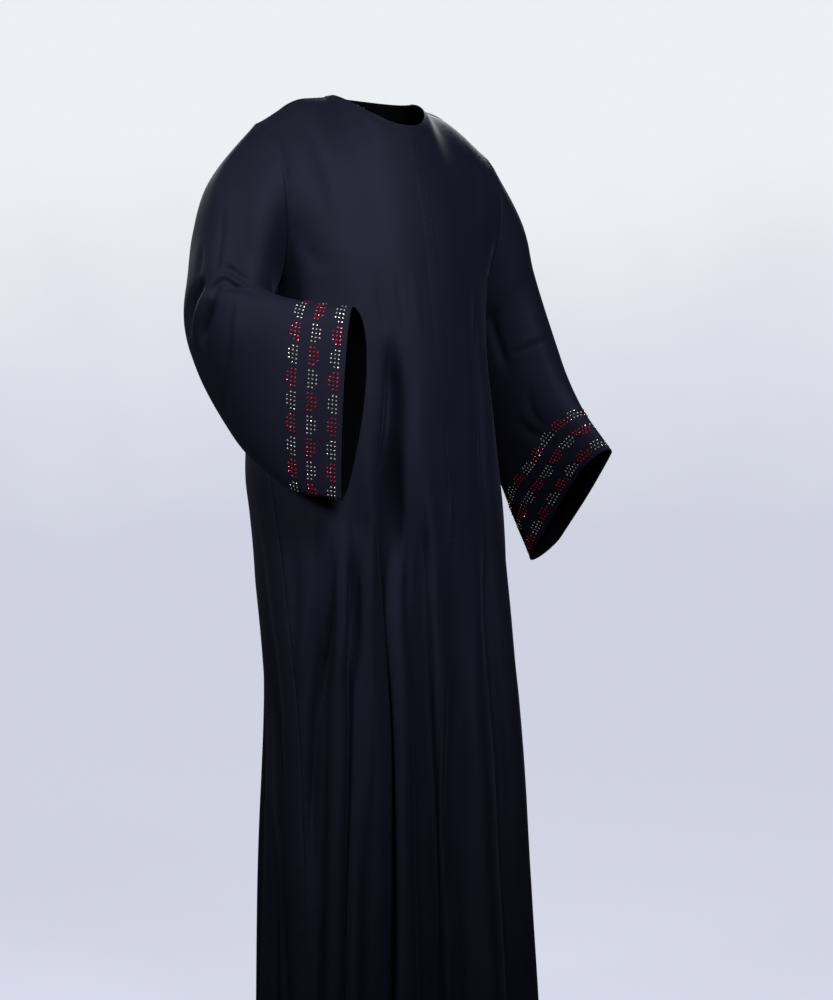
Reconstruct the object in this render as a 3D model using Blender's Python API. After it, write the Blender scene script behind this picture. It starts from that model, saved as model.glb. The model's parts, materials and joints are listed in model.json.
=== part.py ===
"""An abaya in its worn form: two front panels, a back and two bell sleeves, as cloth walls.

Metres, +Z up. The origin is the base of the wearer's neck. The front faces -Y and the wearer's left is +X.
"""

import math
from dataclasses import dataclass

import bpy
import numpy as np

# Driving sizes
CLOTH = 0.0015  # wall thickness
SEAM_GAP = 0.0003  # between two pieces at a seam
SAME_WAY = 0.3  # least cosine between two pieces' normals for them to share a mitred edge
HEM_Z = -1.385
ARMPIT_Z = -0.30
SIDE_SEAM = ((HEM_Z, 72.0), (-1.15, 73.0), (-0.80, 80.0), (ARMPIT_Z, 84.0))  # height, degrees from the front
CENTRE_SEAM = (  # height, degrees from the front
    (HEM_Z, -12.5),
    (-1.03, -10.0),
    (-0.80, -6.0),
    (-0.70, -3.0),
    (-0.61, 1.0),
    (-0.44, 3.0),
    (ARMPIT_Z, 0.0),
)
NECK_SHARE = 0.42  # share of a panel's columns that end at the neckline
NECK_SIDE = (0.074, 0.006, -0.004)
NECK_FRONT = (0.0, -0.082, -0.053)
NECK_BACK = (0.0, 0.066, 0.004)
SHOULDER_TIPS = {-1: (0.204, 0.008, -0.057), 1: (0.202, 0.008, -0.064)}  # right and left, both as +X
EASE_ROUNDS = 16  # how often the yoke is evened out
EASE_RUN = 4.0  # rows under the neck and shoulder seam over which that grows to its whole strength

# Grid sizes
PANEL_COLUMNS = 20
SKIRT_ROWS = 20
YOKE_ROWS = 11
SLEEVE_ROWS = 18


@dataclass(frozen=True)
class Ring:
    """A level of the body: the centre of its oval and the oval's half sizes."""

    z: float
    centre_x: float
    centre_y: float
    half_x: float
    front: float
    back: float


RINGS = (
    Ring(-1.385, 0.016, -0.044, 0.219, 0.171, 0.172),
    Ring(-1.110, 0.014, -0.038, 0.207, 0.163, 0.164),
    Ring(-0.900, 0.012, -0.033, 0.200, 0.157, 0.157),
    Ring(-0.755, 0.007, -0.021, 0.200, 0.158, 0.158),
    Ring(-0.660, 0.004, -0.013, 0.202, 0.160, 0.159),
    Ring(-0.550, -0.003, -0.002, 0.203, 0.162, 0.160),
    Ring(-0.430, 0.000, 0.004, 0.186, 0.160, 0.148),
    Ring(-0.360, 0.000, 0.005, 0.177, 0.157, 0.142),
    Ring(-0.300, 0.000, 0.006, 0.180, 0.153, 0.138),
)


@dataclass(frozen=True)
class Fold:
    """A fold that runs down the body. Angles are degrees round from the centre front, + to the wearer's left."""

    top_angle: float
    hem_angle: float
    start_z: float  # where it begins
    full_z: float  # where it has its whole depth
    depth: float  # + out, - in
    width: float  # half width, in degrees


FOLDS = (
    Fold(-21, -17, -0.30, -0.56, -0.014, 7.0),
    Fold(-11, -7, -0.36, -0.66, 0.008, 6.5),
    Fold(0, -1, -0.62, -1.15, -0.014, 6.5),
    Fold(9, 12, -0.50, -1.10, 0.009, 9.0),
    Fold(24, 28, -0.40, -1.00, -0.012, 7.0),
    Fold(38, 41, -0.45, -1.05, 0.012, 7.5),
    Fold(52, 55, -0.50, -1.00, -0.012, 7.0),
    Fold(66, 69, -0.55, -1.10, 0.010, 7.0),
    Fold(-31, -29, -0.45, -0.95, 0.009, 6.5),
    Fold(-38, -42, -0.50, -0.90, -0.011, 6.5),
    Fold(-47, -54, -0.42, -0.85, 0.009, 6.5),
    Fold(-57, -67, -0.48, -0.90, -0.009, 6.5),
    Fold(-104, -90, -0.55, -0.95, -0.009, 6.5),
    Fold(86, 86, -0.60, -1.10, -0.011, 8.0),
    Fold(104, 103, -0.55, -1.05, 0.013, 8.0),
    Fold(122, 120, -0.45, -1.00, -0.014, 8.0),
    Fold(139, 137, -0.50, -1.05, 0.014, 8.5),
    Fold(156, 154, -0.42, -0.95, -0.015, 8.0),
    Fold(172, 172, -0.50, -1.10, 0.013, 8.5),
    Fold(188, 190, -0.45, -1.00, -0.013, 7.5),
    Fold(205, 206, -0.52, -1.05, 0.012, 8.0),
    Fold(221, 223, -0.44, -0.95, -0.015, 8.0),
    Fold(238, 240, -0.50, -1.10, 0.012, 8.0),
)


@dataclass(frozen=True)
class Section:
    """A section of a sleeve: its centre, the way to its outer side and the way to its front (upper) edge."""

    at: float  # share of the way from armhole to cuff
    centre: tuple
    outer: tuple
    front: tuple
    taper: float  # how much fuller the front edge is than the hanging edge
    lean: float  # share of the depth moved from the outer side to the body's side
    crease: float  # 1 is an oval, and more is flatter between its four ends


RIGHT_SECTIONS = (
    Section(0.00, (-0.192, 0.004, -0.178), (-0.012, 0.004, 0.121), (0.0, -0.068, 0.0), 0.0, 0.0, 1.0),
    Section(0.16, (-0.229, 0.013, -0.2310), (-0.035, 0.007, 0.0910), (0.0, -0.074, -0.008), 0.0, 0.0, 1.0),
    Section(0.34, (-0.243, 0.017, -0.2920), (-0.043, 0.007, 0.0570), (0.003, -0.079, 0.018), 0.0, 0.0, 1.0),
    Section(0.50, (-0.252, 0.010, -0.3500), (-0.048, 0.005, 0.028), (0.005, -0.077, 0.052), 0.1, 0.0, 1.0),
    Section(0.66, (-0.240, -0.037, -0.4155), (-0.043, -0.012, 0.003), (0.0, -0.045, 0.1035), 0.3, 0.0, 1.0),
    Section(0.83, (-0.214, -0.107, -0.456), (-0.034, -0.013, 0.0), (0.003, -0.012, 0.131), 0.35, 0.2, 1.0),
    Section(1.00, (-0.183, -0.190, -0.471), (-0.0245, -0.009, 0.0), (0.004, -0.008, 0.135), 0.3, 0.6, 1.0),
)

LEFT_SECTIONS = (
    Section(0.00, (0.191, 0.004, -0.182), (0.011, 0.004, 0.118), (0.0, -0.068, 0.0), 0.0, 0.0, 1.0),
    Section(0.16, (0.228, 0.008, -0.2320), (0.034, 0.003, 0.0900), (0.0, -0.074, -0.008), 0.0, 0.0, 1.0),
    Section(0.36, (0.2480, 0.012, -0.3050), (0.044, -0.002, 0.050), (-0.002, -0.076, 0.022), 0.0, 0.0, 1.0),
    Section(0.60, (0.280, -0.008, -0.450), (0.045, 0.0, 0.018), (0.005, -0.078, 0.050), 0.1, 0.0, 1.0),
    Section(0.80, (0.299, -0.042, -0.538), (0.034, 0.014, -0.010), (0.012, -0.077, 0.072), 0.15, 0.0, 1.1),
    Section(1.00, (0.3170, -0.081, -0.615), (0.0150, 0.0440, -0.054), (0.0060, -0.0900, 0.082), 0.0, 0.05, 1.5),
)


def smooth(values, low, high):
    """0 below low, 1 above high, and an even S between them."""
    t = np.clip((values - low) / (high - low), 0.0, 1.0)
    return t * t * (3.0 - 2.0 * t)


def through(keys, rows, at):
    """A smooth curve through the rows at rising keys, with slopes from each row's neighbours."""
    keys, rows = np.asarray(keys, float), np.asarray(rows, float)
    slopes = np.gradient(rows, keys, axis=0)
    at = np.clip(at, keys[0], keys[-1])
    k = np.clip(np.searchsorted(keys, at, side="right") - 1, 0, len(keys) - 2)
    span = keys[k + 1] - keys[k]
    t = ((at - keys[k]) / span)[..., None]
    span = span[..., None]
    return (
        (2 * t**3 - 3 * t**2 + 1) * rows[k]
        + (t**3 - 2 * t**2 + t) * span * slopes[k]
        + (3 * t**2 - 2 * t**3) * rows[k + 1]
        + (t**3 - t**2) * span * slopes[k + 1]
    )


def fold_depth(angle, z):
    """How far the folds push the cloth out at this angle (radians) and height."""
    depth = np.zeros(np.broadcast(angle, z).shape)
    for fold in FOLDS:
        grown = smooth(-z, -fold.start_z, -fold.full_z)
        run = np.clip((fold.start_z - z) / (fold.start_z - HEM_Z), 0.0, 1.0)
        middle = fold.top_angle + (fold.hem_angle - fold.top_angle) * run
        apart = (np.degrees(angle) - middle + 180.0) % 360.0 - 180.0
        depth = depth + fold.depth * grown * np.exp(-((apart / fold.width) ** 2))
    return depth


def body(angle, z):
    """A point of the body at an angle round from the centre front and a height at or under the armpits."""
    table = [[r.centre_x, r.centre_y, r.half_x, r.front, r.back] for r in RINGS]
    centre_x, centre_y, half_x, front, back = np.moveaxis(
        through([r.z for r in RINGS], table, z + 0.0 * angle), -1, 0
    )
    deep = np.where(np.cos(angle) > 0, front, back)
    out = np.stack([np.sin(angle) / half_x, -np.cos(angle) / deep, 0.0 * angle * z], axis=-1)
    out /= np.linalg.norm(out, axis=-1, keepdims=True)
    point = np.stack(
        [centre_x + half_x * np.sin(angle), centre_y - deep * np.cos(angle), z + 0.0 * angle], axis=-1
    )
    return point + out * fold_depth(angle, z)[..., None]


def eased(grid, first_row):
    """The grid with its points from first_row up moved towards their neighbours' middle, less near the top edge.

    The neighbours along a row count for more, so the hang of the cloth stays and creases from the neck go.
    """
    grid = grid.copy()
    from_top = np.arange(len(grid) - 2, 0, -1)[:, None, None]
    ease = 0.5 * np.clip((from_top - 0.6) / EASE_RUN, 0.0, 1.0)
    for _ in range(EASE_ROUNDS):
        beside = (grid[1:-1, :-2] + grid[1:-1, 2:]) / 2
        above = (grid[:-2, 1:-1] + grid[2:, 1:-1]) / 2
        inside = grid[1:-1, 1:-1]
        inside[first_row:] += (ease * (0.75 * beside + 0.25 * above - inside))[first_row:]
    return grid


def half_top(share, neck, side):
    """The top edge of half a panel: round the neck from its middle, then along the shoulder seam.

    share runs 0 at the middle of the neck to 1 at the shoulder tip. side is -1 right, +1 left.
    """
    turn = np.clip(share / NECK_SHARE, 0.0, 1.0)[..., None] * math.pi / 2
    middle, corner = np.array(neck), np.array(NECK_SIDE)
    round_neck = corner * [1, 0, 0] * np.sin(turn) + middle * [0, 1, 0] * np.cos(turn)
    round_neck = round_neck + corner * [0, 1, 0] * (1.0 - np.cos(turn))
    round_neck = round_neck + [0, 0, 1] * (corner + (middle - corner) * np.cos(turn) ** 1.5)
    along = np.clip((share - NECK_SHARE) / (1.0 - NECK_SHARE), 0.0, 1.0)[..., None]
    tip = np.array(SHOULDER_TIPS[side])
    rounded = np.array([0.0, 0.0, 0.012]) * np.sin(along * math.pi) ** 2
    shoulder = corner + (tip - corner) * along + rounded
    point = np.where(share[..., None] <= NECK_SHARE, round_neck, shoulder)
    return point * [side, 1, 1]


def half_panel(front, side):
    """The outer points of half of the front or the back, rows from hem to top, columns from middle to side.

    Under the armpits the rows lie on the body's ovals. Above them each column is one cubic that leaves the last
    oval as it stands, goes round the arm where it is near the armhole, and lies flat at the shoulder seam.
    """
    share = np.linspace(0.0, 1.0, PANEL_COLUMNS + 1)
    z = HEM_Z + (ARMPIT_Z - HEM_Z) * np.linspace(0.0, 1.0, SKIRT_ROWS + 1)
    seam = np.radians(np.interp(z, *zip(*SIDE_SEAM)))[:, None]
    levels, degrees = np.transpose(CENTRE_SEAM)
    middle = np.radians(through(levels, degrees[:, None], z)) if front else side * math.pi
    angle = middle + share * (side * seam - middle)
    skirt = body(angle, z[:, None])
    low = skirt[-1]
    top = half_top(share, NECK_FRONT if front else NECK_BACK, side)
    forward = -1.0 if front else 1.0
    below = body(angle[-1], np.array(ARMPIT_Z - 0.02))
    upright = (low - below) / np.linalg.norm(low - below, axis=1, keepdims=True)
    edge = smooth(share, 0.35, 1.0)[:, None] ** 1.3
    leave = upright * (0.27 - 0.05 * edge) + np.array([side * 0.04, forward * 0.22, 0.0]) * edge
    corner = smooth(share, 0.0, NECK_SHARE + 0.08)[:, None]
    to_neck = np.array([0.0, -forward * 0.11, 0.19])
    to_seam = np.array([0.0, -forward * 0.23, 0.06])
    arrive = to_neck * (1.0 - corner) + to_seam * corner + np.array([0.0, -forward * 0.03, 0.02]) * edge
    t = np.linspace(0.0, 1.0, YOKE_ROWS + 1)[1:, None, None]
    yoke = (
        (2 * t**3 - 3 * t**2 + 1) * low
        + (t**3 - 2 * t**2 + t) * leave
        + (3 * t**2 - 2 * t**3) * top
        + (t**3 - t**2) * arrive
    )
    return np.concatenate([skirt, yoke])


def sleeve(sections, armhole):
    """The outer points of a sleeve, rows from armhole to cuff.

    The columns start at the armpit, pass the front, the outer side and the back, and end at the armpit. armhole
    holds the points of the body's edge, which are the sleeve's first row.
    """
    turn = math.pi * (1.0 - 2.0 * np.arange(len(armhole)) / len(armhole))
    at = np.linspace(0.0, 1.0, SLEEVE_ROWS + 1)
    table = [[*s.centre, *s.outer, *s.front, s.taper, s.lean, s.crease] for s in sections]
    row = through([s.at for s in sections], table, at)[:, None, :]
    crease = row[..., 11:12]
    upper, side = (np.sign(w) * np.abs(w) ** crease for w in (np.sin(turn)[:, None], np.cos(turn)[:, None]))
    fullness = (1.0 + row[..., 9:10] * upper) * (1.0 - np.sign(side) * row[..., 10:11])
    oval = row[..., 0:3] + row[..., 6:9] * upper + row[..., 3:6] * side * fullness
    leftover = (armhole - oval[0])[None]
    return oval + leftover * (1.0 - smooth(at, 0.0, 0.35))[:, None, None]


def face_normals(grid, closed, flip):
    """The sum of the normals of the faces round each point of a grid."""
    columns = grid.shape[1]
    nxt = np.roll(grid, -1, axis=1) if closed else grid[:, 1:]
    here = grid if closed else grid[:, :-1]
    normal = np.cross(nxt[1:] - here[:-1], here[1:] - nxt[:-1]) * (-1.0 if flip else 1.0)
    total = np.zeros_like(grid)
    at = np.arange(normal.shape[1])
    for row in (0, 1):
        for column in (0, 1):
            rows = slice(row, row + normal.shape[0])
            np.add.at(total, (rows, (at + column) % columns), normal)
    return total


@dataclass
class Piece:
    """A cut piece: a grid of outer points and how it is joined."""

    name: str
    grid: np.ndarray
    closed: bool  # whether its last column meets its first
    flip: bool  # whether rows and columns turn the other way round the outside
    seams: tuple  # which edges are sewn: bottom, top, first, last


def shared_normals(pieces):
    """Unit normals for each piece, the same where two pieces go on in nearly the same direction.

    In the fold under an arm the pieces face each other, and there each keeps its own.
    """
    own = []
    for piece in pieces:
        normals = face_normals(piece.grid, piece.closed, piece.flip)
        own.append(normals / np.linalg.norm(normals, axis=-1, keepdims=True))
    meeting = {}
    for piece, normals in zip(pieces, own):
        for point, normal in zip(piece.grid.reshape(-1, 3), normals.reshape(-1, 3)):
            key = tuple(np.round(point * 1e5).astype(int))
            meeting.setdefault(key, []).append((piece.closed, normal))
    shared = []
    for piece, normals in zip(pieces, own):
        joined = []
        for point, normal in zip(piece.grid.reshape(-1, 3), normals.reshape(-1, 3)):
            others = meeting[tuple(np.round(point * 1e5).astype(int))]
            total = sum(n for kind, n in others if kind == piece.closed or n @ normal > SAME_WAY)
            joined.append(total / np.linalg.norm(total))
        shared.append(np.array(joined).reshape(normals.shape))
    return shared


def drawn_back(points, seams):
    """The points with each sewn edge moved half a seam gap into the piece, square to the seam."""
    moved = points.copy()
    edges = {"bottom": (0, 1, 0), "top": (-1, -2, 0), "first": (0, 1, 1), "last": (-1, -2, 1)}
    for seam in seams:
        edge, inside, axis = edges[seam]
        ends = np.take(points, edge, axis=axis)
        along = np.gradient(ends, axis=0)
        if seam == "bottom":
            along = np.roll(ends, -1, axis=0) - np.roll(ends, 1, axis=0)
        along /= np.linalg.norm(along, axis=-1, keepdims=True)
        way = np.take(points, inside, axis=axis) - ends
        way = way - along * (way * along).sum(axis=-1, keepdims=True)
        way = way / np.linalg.norm(way, axis=-1, keepdims=True) * SEAM_GAP / 2
        if axis == 0:
            moved[edge] += way
        else:
            moved[:, edge] += way
    return moved


def wall_faces(points, closed, flip):
    """Faces of a closed wall between an outer grid of points and the inner one.

    Both sides of the wall are split into triangles along the same, shorter diagonals, so they stay parallel.
    """
    rows, columns = points.shape[:2]
    layer = rows * columns
    flat = points.reshape(-1, 3)

    def at(row, column, inner=0):
        return inner * layer + row * columns + column % columns

    faces = []
    across = columns if closed else columns - 1
    for row in range(rows - 1):
        for column in range(across):
            quad = (at(row, column), at(row, column + 1), at(row + 1, column + 1), at(row + 1, column))
            diagonals = np.linalg.norm(flat[[quad[0], quad[1]]] - flat[[quad[2], quad[3]]], axis=1)
            first = 0 if diagonals[0] <= diagonals[1] else 1
            corners = [quad[(first + k) % 4] for k in range(4)]
            for triangle in (corners[:3], [corners[0], corners[2], corners[3]]):
                faces.append(tuple(triangle))
                faces.append(tuple(layer + k for k in reversed(triangle)))
    for column in range(across):
        faces.append((at(0, column + 1), at(0, column), at(0, column, 1), at(0, column + 1, 1)))
        last = rows - 1
        faces.append((at(last, column), at(last, column + 1), at(last, column + 1, 1), at(last, column, 1)))
    if not closed:
        for row in range(rows - 1):
            faces.append((at(row, 0), at(row + 1, 0), at(row + 1, 0, 1), at(row, 0, 1)))
            end = columns - 1
            faces.append((at(row + 1, end), at(row, end), at(row, end, 1), at(row + 1, end, 1)))
    return [tuple(reversed(f)) for f in faces] if flip else faces


def cloth_material():
    """Navy-black crepe."""
    material = bpy.data.materials.new("navy_black_crepe")
    material.use_nodes = True
    shader = material.node_tree.nodes["Principled BSDF"]
    shader.inputs["Base Color"].default_value = (0.006, 0.006, 0.013, 1.0)
    shader.inputs["Roughness"].default_value = 0.62
    shader.inputs["Metallic"].default_value = 0.0
    return material


def make_wall(piece, normals, holder, material):
    """The object of one piece: its outer points, and the same points a cloth's thickness inside."""
    outer = drawn_back(piece.grid, piece.seams)
    inner = drawn_back(piece.grid - CLOTH * normals, piece.seams)
    mesh = bpy.data.meshes.new(piece.name)
    points = np.concatenate([outer.reshape(-1, 3), inner.reshape(-1, 3)])
    mesh.from_pydata(points.tolist(), [], wall_faces(piece.grid, piece.closed, piece.flip))
    mesh.shade_smooth()
    mesh.set_sharp_from_angle(angle=math.radians(50))
    mesh.materials.append(material)
    made = bpy.data.objects.new(piece.name, mesh)
    bpy.context.scene.collection.objects.link(made)
    made.parent = holder
    return made


def cut_pieces():
    """The five pieces, from their grids."""
    whole = {}
    for front in (True, False):
        halves = {side: half_panel(front, side) for side in (-1, 1)}
        joined = np.concatenate([halves[1][:, ::-1], halves[-1][:, 1:]], axis=1)
        whole[front] = eased(joined, SKIRT_ROWS - 3)
    middle = PANEL_COLUMNS
    fronts = {1: whole[True][:, middle::-1], -1: whole[True][:, middle:]}
    back = whole[False]
    pieces = [
        Piece("front_right", fronts[-1], False, True, ("top", "first", "last")),
        Piece("front_left", fronts[1], False, False, ("top", "first", "last")),
        Piece("back", back, False, False, ("top", "first", "last")),
    ]
    for side, name, sections in ((-1, "sleeve_right", RIGHT_SECTIONS), (1, "sleeve_left", LEFT_SECTIONS)):
        up = fronts[side][SKIRT_ROWS:, -1]
        down = back[SKIRT_ROWS:, 0 if side > 0 else -1][::-1]
        armhole = np.concatenate([up, down[1:-1]])
        pieces.append(Piece(name, sleeve(sections, armhole), True, side > 0, ("bottom",)))
    return pieces


def main():
    """Clears the scene and makes the abaya."""
    for old in list(bpy.data.objects):
        bpy.data.objects.remove(old, do_unlink=True)
    holder = bpy.data.objects.new("abaya", None)
    bpy.context.scene.collection.objects.link(holder)
    material = cloth_material()
    pieces = cut_pieces()
    for piece, normals in zip(pieces, shared_normals(pieces)):
        make_wall(piece, normals, holder, material)


main()
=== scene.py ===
"""The looks of an abaya in its worn form: navy-black crepe, cuffs trimmed with small stones, and its sewing.

The five cloth pieces have the forms of the part's source, made finer, creased, hemmed and stitched. Metres,
+Z up. The origin is the base of the wearer's neck, the front faces -Y, and the wearer's left is +X.
"""

import json
import logging
import math
from collections.abc import Sequence
from dataclasses import dataclass, field
from enum import Enum
from pathlib import Path

import bpy
import numpy as np
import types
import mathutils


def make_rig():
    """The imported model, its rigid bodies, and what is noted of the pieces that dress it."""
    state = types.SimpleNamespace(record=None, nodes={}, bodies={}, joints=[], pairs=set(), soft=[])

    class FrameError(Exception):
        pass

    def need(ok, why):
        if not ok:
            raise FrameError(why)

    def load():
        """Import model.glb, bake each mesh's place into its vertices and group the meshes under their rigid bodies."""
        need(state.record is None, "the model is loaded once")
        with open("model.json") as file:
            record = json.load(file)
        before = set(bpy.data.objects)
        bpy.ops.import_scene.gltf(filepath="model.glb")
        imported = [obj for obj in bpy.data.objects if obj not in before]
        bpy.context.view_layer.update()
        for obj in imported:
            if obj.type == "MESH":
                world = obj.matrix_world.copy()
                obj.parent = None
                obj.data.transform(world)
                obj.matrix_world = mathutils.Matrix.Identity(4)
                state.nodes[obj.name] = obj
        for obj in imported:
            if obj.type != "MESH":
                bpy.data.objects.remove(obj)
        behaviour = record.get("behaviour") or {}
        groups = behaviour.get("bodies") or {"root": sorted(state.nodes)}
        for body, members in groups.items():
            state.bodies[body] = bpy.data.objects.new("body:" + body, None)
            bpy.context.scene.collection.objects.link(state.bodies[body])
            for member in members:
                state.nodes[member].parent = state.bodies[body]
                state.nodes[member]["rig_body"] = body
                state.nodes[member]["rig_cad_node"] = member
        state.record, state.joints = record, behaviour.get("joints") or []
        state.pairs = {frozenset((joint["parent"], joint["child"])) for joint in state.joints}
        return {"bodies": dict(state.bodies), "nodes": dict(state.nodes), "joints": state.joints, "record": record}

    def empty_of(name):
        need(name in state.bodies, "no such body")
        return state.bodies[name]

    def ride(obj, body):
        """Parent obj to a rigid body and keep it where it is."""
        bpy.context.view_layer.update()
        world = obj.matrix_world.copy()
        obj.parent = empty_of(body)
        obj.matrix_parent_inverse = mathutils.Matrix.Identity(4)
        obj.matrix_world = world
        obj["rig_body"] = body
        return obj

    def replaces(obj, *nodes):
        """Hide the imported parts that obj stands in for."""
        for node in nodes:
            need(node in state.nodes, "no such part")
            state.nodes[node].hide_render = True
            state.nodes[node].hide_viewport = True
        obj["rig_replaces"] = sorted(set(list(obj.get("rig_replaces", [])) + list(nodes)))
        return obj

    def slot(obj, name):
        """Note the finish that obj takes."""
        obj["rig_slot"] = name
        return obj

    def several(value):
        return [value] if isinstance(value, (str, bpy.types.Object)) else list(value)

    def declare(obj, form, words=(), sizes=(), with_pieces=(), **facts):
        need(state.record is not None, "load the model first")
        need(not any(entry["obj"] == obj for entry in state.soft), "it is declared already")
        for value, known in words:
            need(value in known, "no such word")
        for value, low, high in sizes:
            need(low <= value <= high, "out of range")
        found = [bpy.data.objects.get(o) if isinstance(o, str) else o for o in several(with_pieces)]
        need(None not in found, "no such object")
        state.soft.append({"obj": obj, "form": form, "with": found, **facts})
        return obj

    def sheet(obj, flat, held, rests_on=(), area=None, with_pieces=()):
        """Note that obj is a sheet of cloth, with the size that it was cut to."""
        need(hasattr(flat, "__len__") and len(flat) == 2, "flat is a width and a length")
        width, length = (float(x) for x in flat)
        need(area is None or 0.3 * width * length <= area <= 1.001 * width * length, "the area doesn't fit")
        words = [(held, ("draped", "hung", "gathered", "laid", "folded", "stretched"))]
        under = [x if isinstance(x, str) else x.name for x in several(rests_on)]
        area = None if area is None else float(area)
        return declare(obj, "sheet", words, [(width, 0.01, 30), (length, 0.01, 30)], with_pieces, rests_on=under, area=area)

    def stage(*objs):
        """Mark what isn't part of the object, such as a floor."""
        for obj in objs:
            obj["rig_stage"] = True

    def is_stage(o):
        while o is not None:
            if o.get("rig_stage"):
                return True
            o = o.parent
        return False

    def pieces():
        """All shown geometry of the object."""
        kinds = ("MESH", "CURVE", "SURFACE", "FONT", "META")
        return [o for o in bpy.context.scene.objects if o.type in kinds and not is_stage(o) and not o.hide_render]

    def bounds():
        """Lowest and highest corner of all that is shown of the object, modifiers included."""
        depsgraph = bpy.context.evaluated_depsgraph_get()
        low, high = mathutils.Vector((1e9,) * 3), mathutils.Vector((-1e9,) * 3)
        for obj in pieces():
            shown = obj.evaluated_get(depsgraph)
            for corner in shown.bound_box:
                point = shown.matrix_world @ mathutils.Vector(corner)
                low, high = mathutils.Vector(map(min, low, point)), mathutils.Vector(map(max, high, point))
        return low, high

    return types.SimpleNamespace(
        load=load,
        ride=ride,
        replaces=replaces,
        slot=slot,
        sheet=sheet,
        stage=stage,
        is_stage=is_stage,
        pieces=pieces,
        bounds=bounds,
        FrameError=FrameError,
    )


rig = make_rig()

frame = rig.load()
CAD_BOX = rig.bounds()

LOG = logging.getLogger("abaya")
Array = np.ndarray
Point = tuple[float, float, float]
Colour = tuple[float, float, float]
Socket = bpy.types.NodeSocket

PANEL_COLUMNS = 20  # of half a front or half the back, in the part's own grid
SKIRT_ROWS = 20
YOKE_ROWS = 11
SLEEVE_ROWS = 18
LED_IN = 0.35  # share of a sleeve over which it goes from the armhole's form to its own ovals
MM = 0.001  # a millimetre in metres


def smooth(values: Array, low: float, high: float) -> Array:
    """An even S from 0 at low to 1 at high: 3 t squared - 2 t cubed, where t is the share of the way."""
    t = np.clip((values - low) / (high - low), 0.0, 1.0)
    return t * t * (3.0 - 2.0 * t)


def bell(distance: Array, width: float) -> Array:
    """e to the power of minus the square of distance over width: 1 on a line, dying away beside it."""
    return np.exp(-((distance / width) ** 2))


def unit(vectors: Array) -> Array:
    """Vectors over their lengths, along the last axis."""
    return vectors / np.maximum(np.linalg.norm(vectors, axis=-1, keepdims=True), 1e-12)


def through(keys: Sequence[float], rows: Sequence, at: Array) -> Array:
    """A smooth curve through rows of numbers: a cubic between each two, with slopes from their neighbours.

    Args:
        keys: Rising places of the rows.
        rows: The rows.
        at: Places to read, held between the ends.

    Returns:
        A row for each place.
    """
    keys, rows = np.asarray(keys, float), np.asarray(rows, float)
    slopes = np.gradient(rows, keys, axis=0)
    at = np.clip(at, keys[0], keys[-1])
    k = np.clip(np.searchsorted(keys, at, side="right") - 1, 0, len(keys) - 2)
    span = keys[k + 1] - keys[k]
    t = ((at - keys[k]) / span)[..., None]
    return cubic(rows[k], span[..., None] * slopes[k], rows[k + 1], span[..., None] * slopes[k + 1], t)


def cubic(start: Array, leave: Array, end: Array, arrive: Array, t: Array) -> Array:
    """The cubic from start to end that leaves along one slope and arrives along another, at shares t."""
    return (
        (2 * t**3 - 3 * t**2 + 1) * start
        + (t**3 - 2 * t**2 + t) * leave
        + (3 * t**2 - 2 * t**3) * end
        + (t**3 - t**2) * arrive
    )


def spline_weights(at: Array, count: int, closed: bool = False) -> Array:
    """Weights that read a smooth curve through numbered points, at places between them.

    From point 1 to point 2, with t the share of the way, the curve is half of 2 p1 + (p2 - p0) t
    + (2 p0 - 5 p1 + 4 p2 - p3) t squared + (3 p1 - p0 - 3 p2 + p3) t cubed. Past an open end stands the
    mirror image of the last point but one.

    Args:
        at: Places, in point numbers.
        count: How many points there are.
        closed: Whether the last point is followed by the first.

    Returns:
        A row of weights over the points for each place.
    """
    start = np.floor(at).astype(int)
    if not closed:
        start = np.clip(start, 0, count - 2)
    t = at - start
    shares = 0.5 * np.stack(
        [2 * t**2 - t - t**3, 2 - 5 * t**2 + 3 * t**3, t + 4 * t**2 - 3 * t**3, t**3 - t**2], axis=1
    )
    weights = np.zeros((len(at), count + 2))
    rows = np.arange(len(at))
    for k in range(4):
        column = (start + k - 1) % count + 1 if closed else start + k
        np.add.at(weights, (rows, column), shares[:, k])
    before, after = weights[:, 0], weights[:, -1]
    inside = weights[:, 1:-1].copy()
    inside[:, 0] += 2 * before
    inside[:, 1] -= before
    inside[:, -1] += 2 * after
    inside[:, -2] -= after
    return inside


def spaced(low: float, high: float, count: int, near_low: Sequence = (), near_high: Sequence = ()) -> Array:
    """Even places from low to high, and more of them near the ends, where sewing needs a fine grid.

    Args:
        low: The first place.
        high: The last place.
        count: How many even steps lie between them.
        near_low: How far past low the extra places lie.
        near_high: How far before high the extra places lie.

    Returns:
        The places, rising.
    """
    extra = np.concatenate([low + np.array(near_low, float), high - np.array(near_high, float)])
    even = np.linspace(low, high, count + 1)
    apart = np.abs(even[1:-1, None] - extra).min(axis=1) if len(extra) else np.inf
    kept = even[1:-1][apart > 0.3 * (high - low) / count]
    return np.unique(np.round(np.concatenate([[low, high], kept, extra]), 6))


@dataclass(frozen=True)
class Ring:
    """A level of the body: the centre of its oval and the oval's half sizes."""

    z: float
    centre_x: float
    centre_y: float
    half_x: float
    front: float
    back: float


@dataclass(frozen=True)
class Fold:
    """A fold down the body. Angles are degrees round from the centre front, + to the wearer's left."""

    top_angle: float
    hem_angle: float
    start_z: float  # where it begins
    full_z: float  # where it has its whole depth
    depth: float  # + out, - in
    width: float  # half width, in degrees


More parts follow.
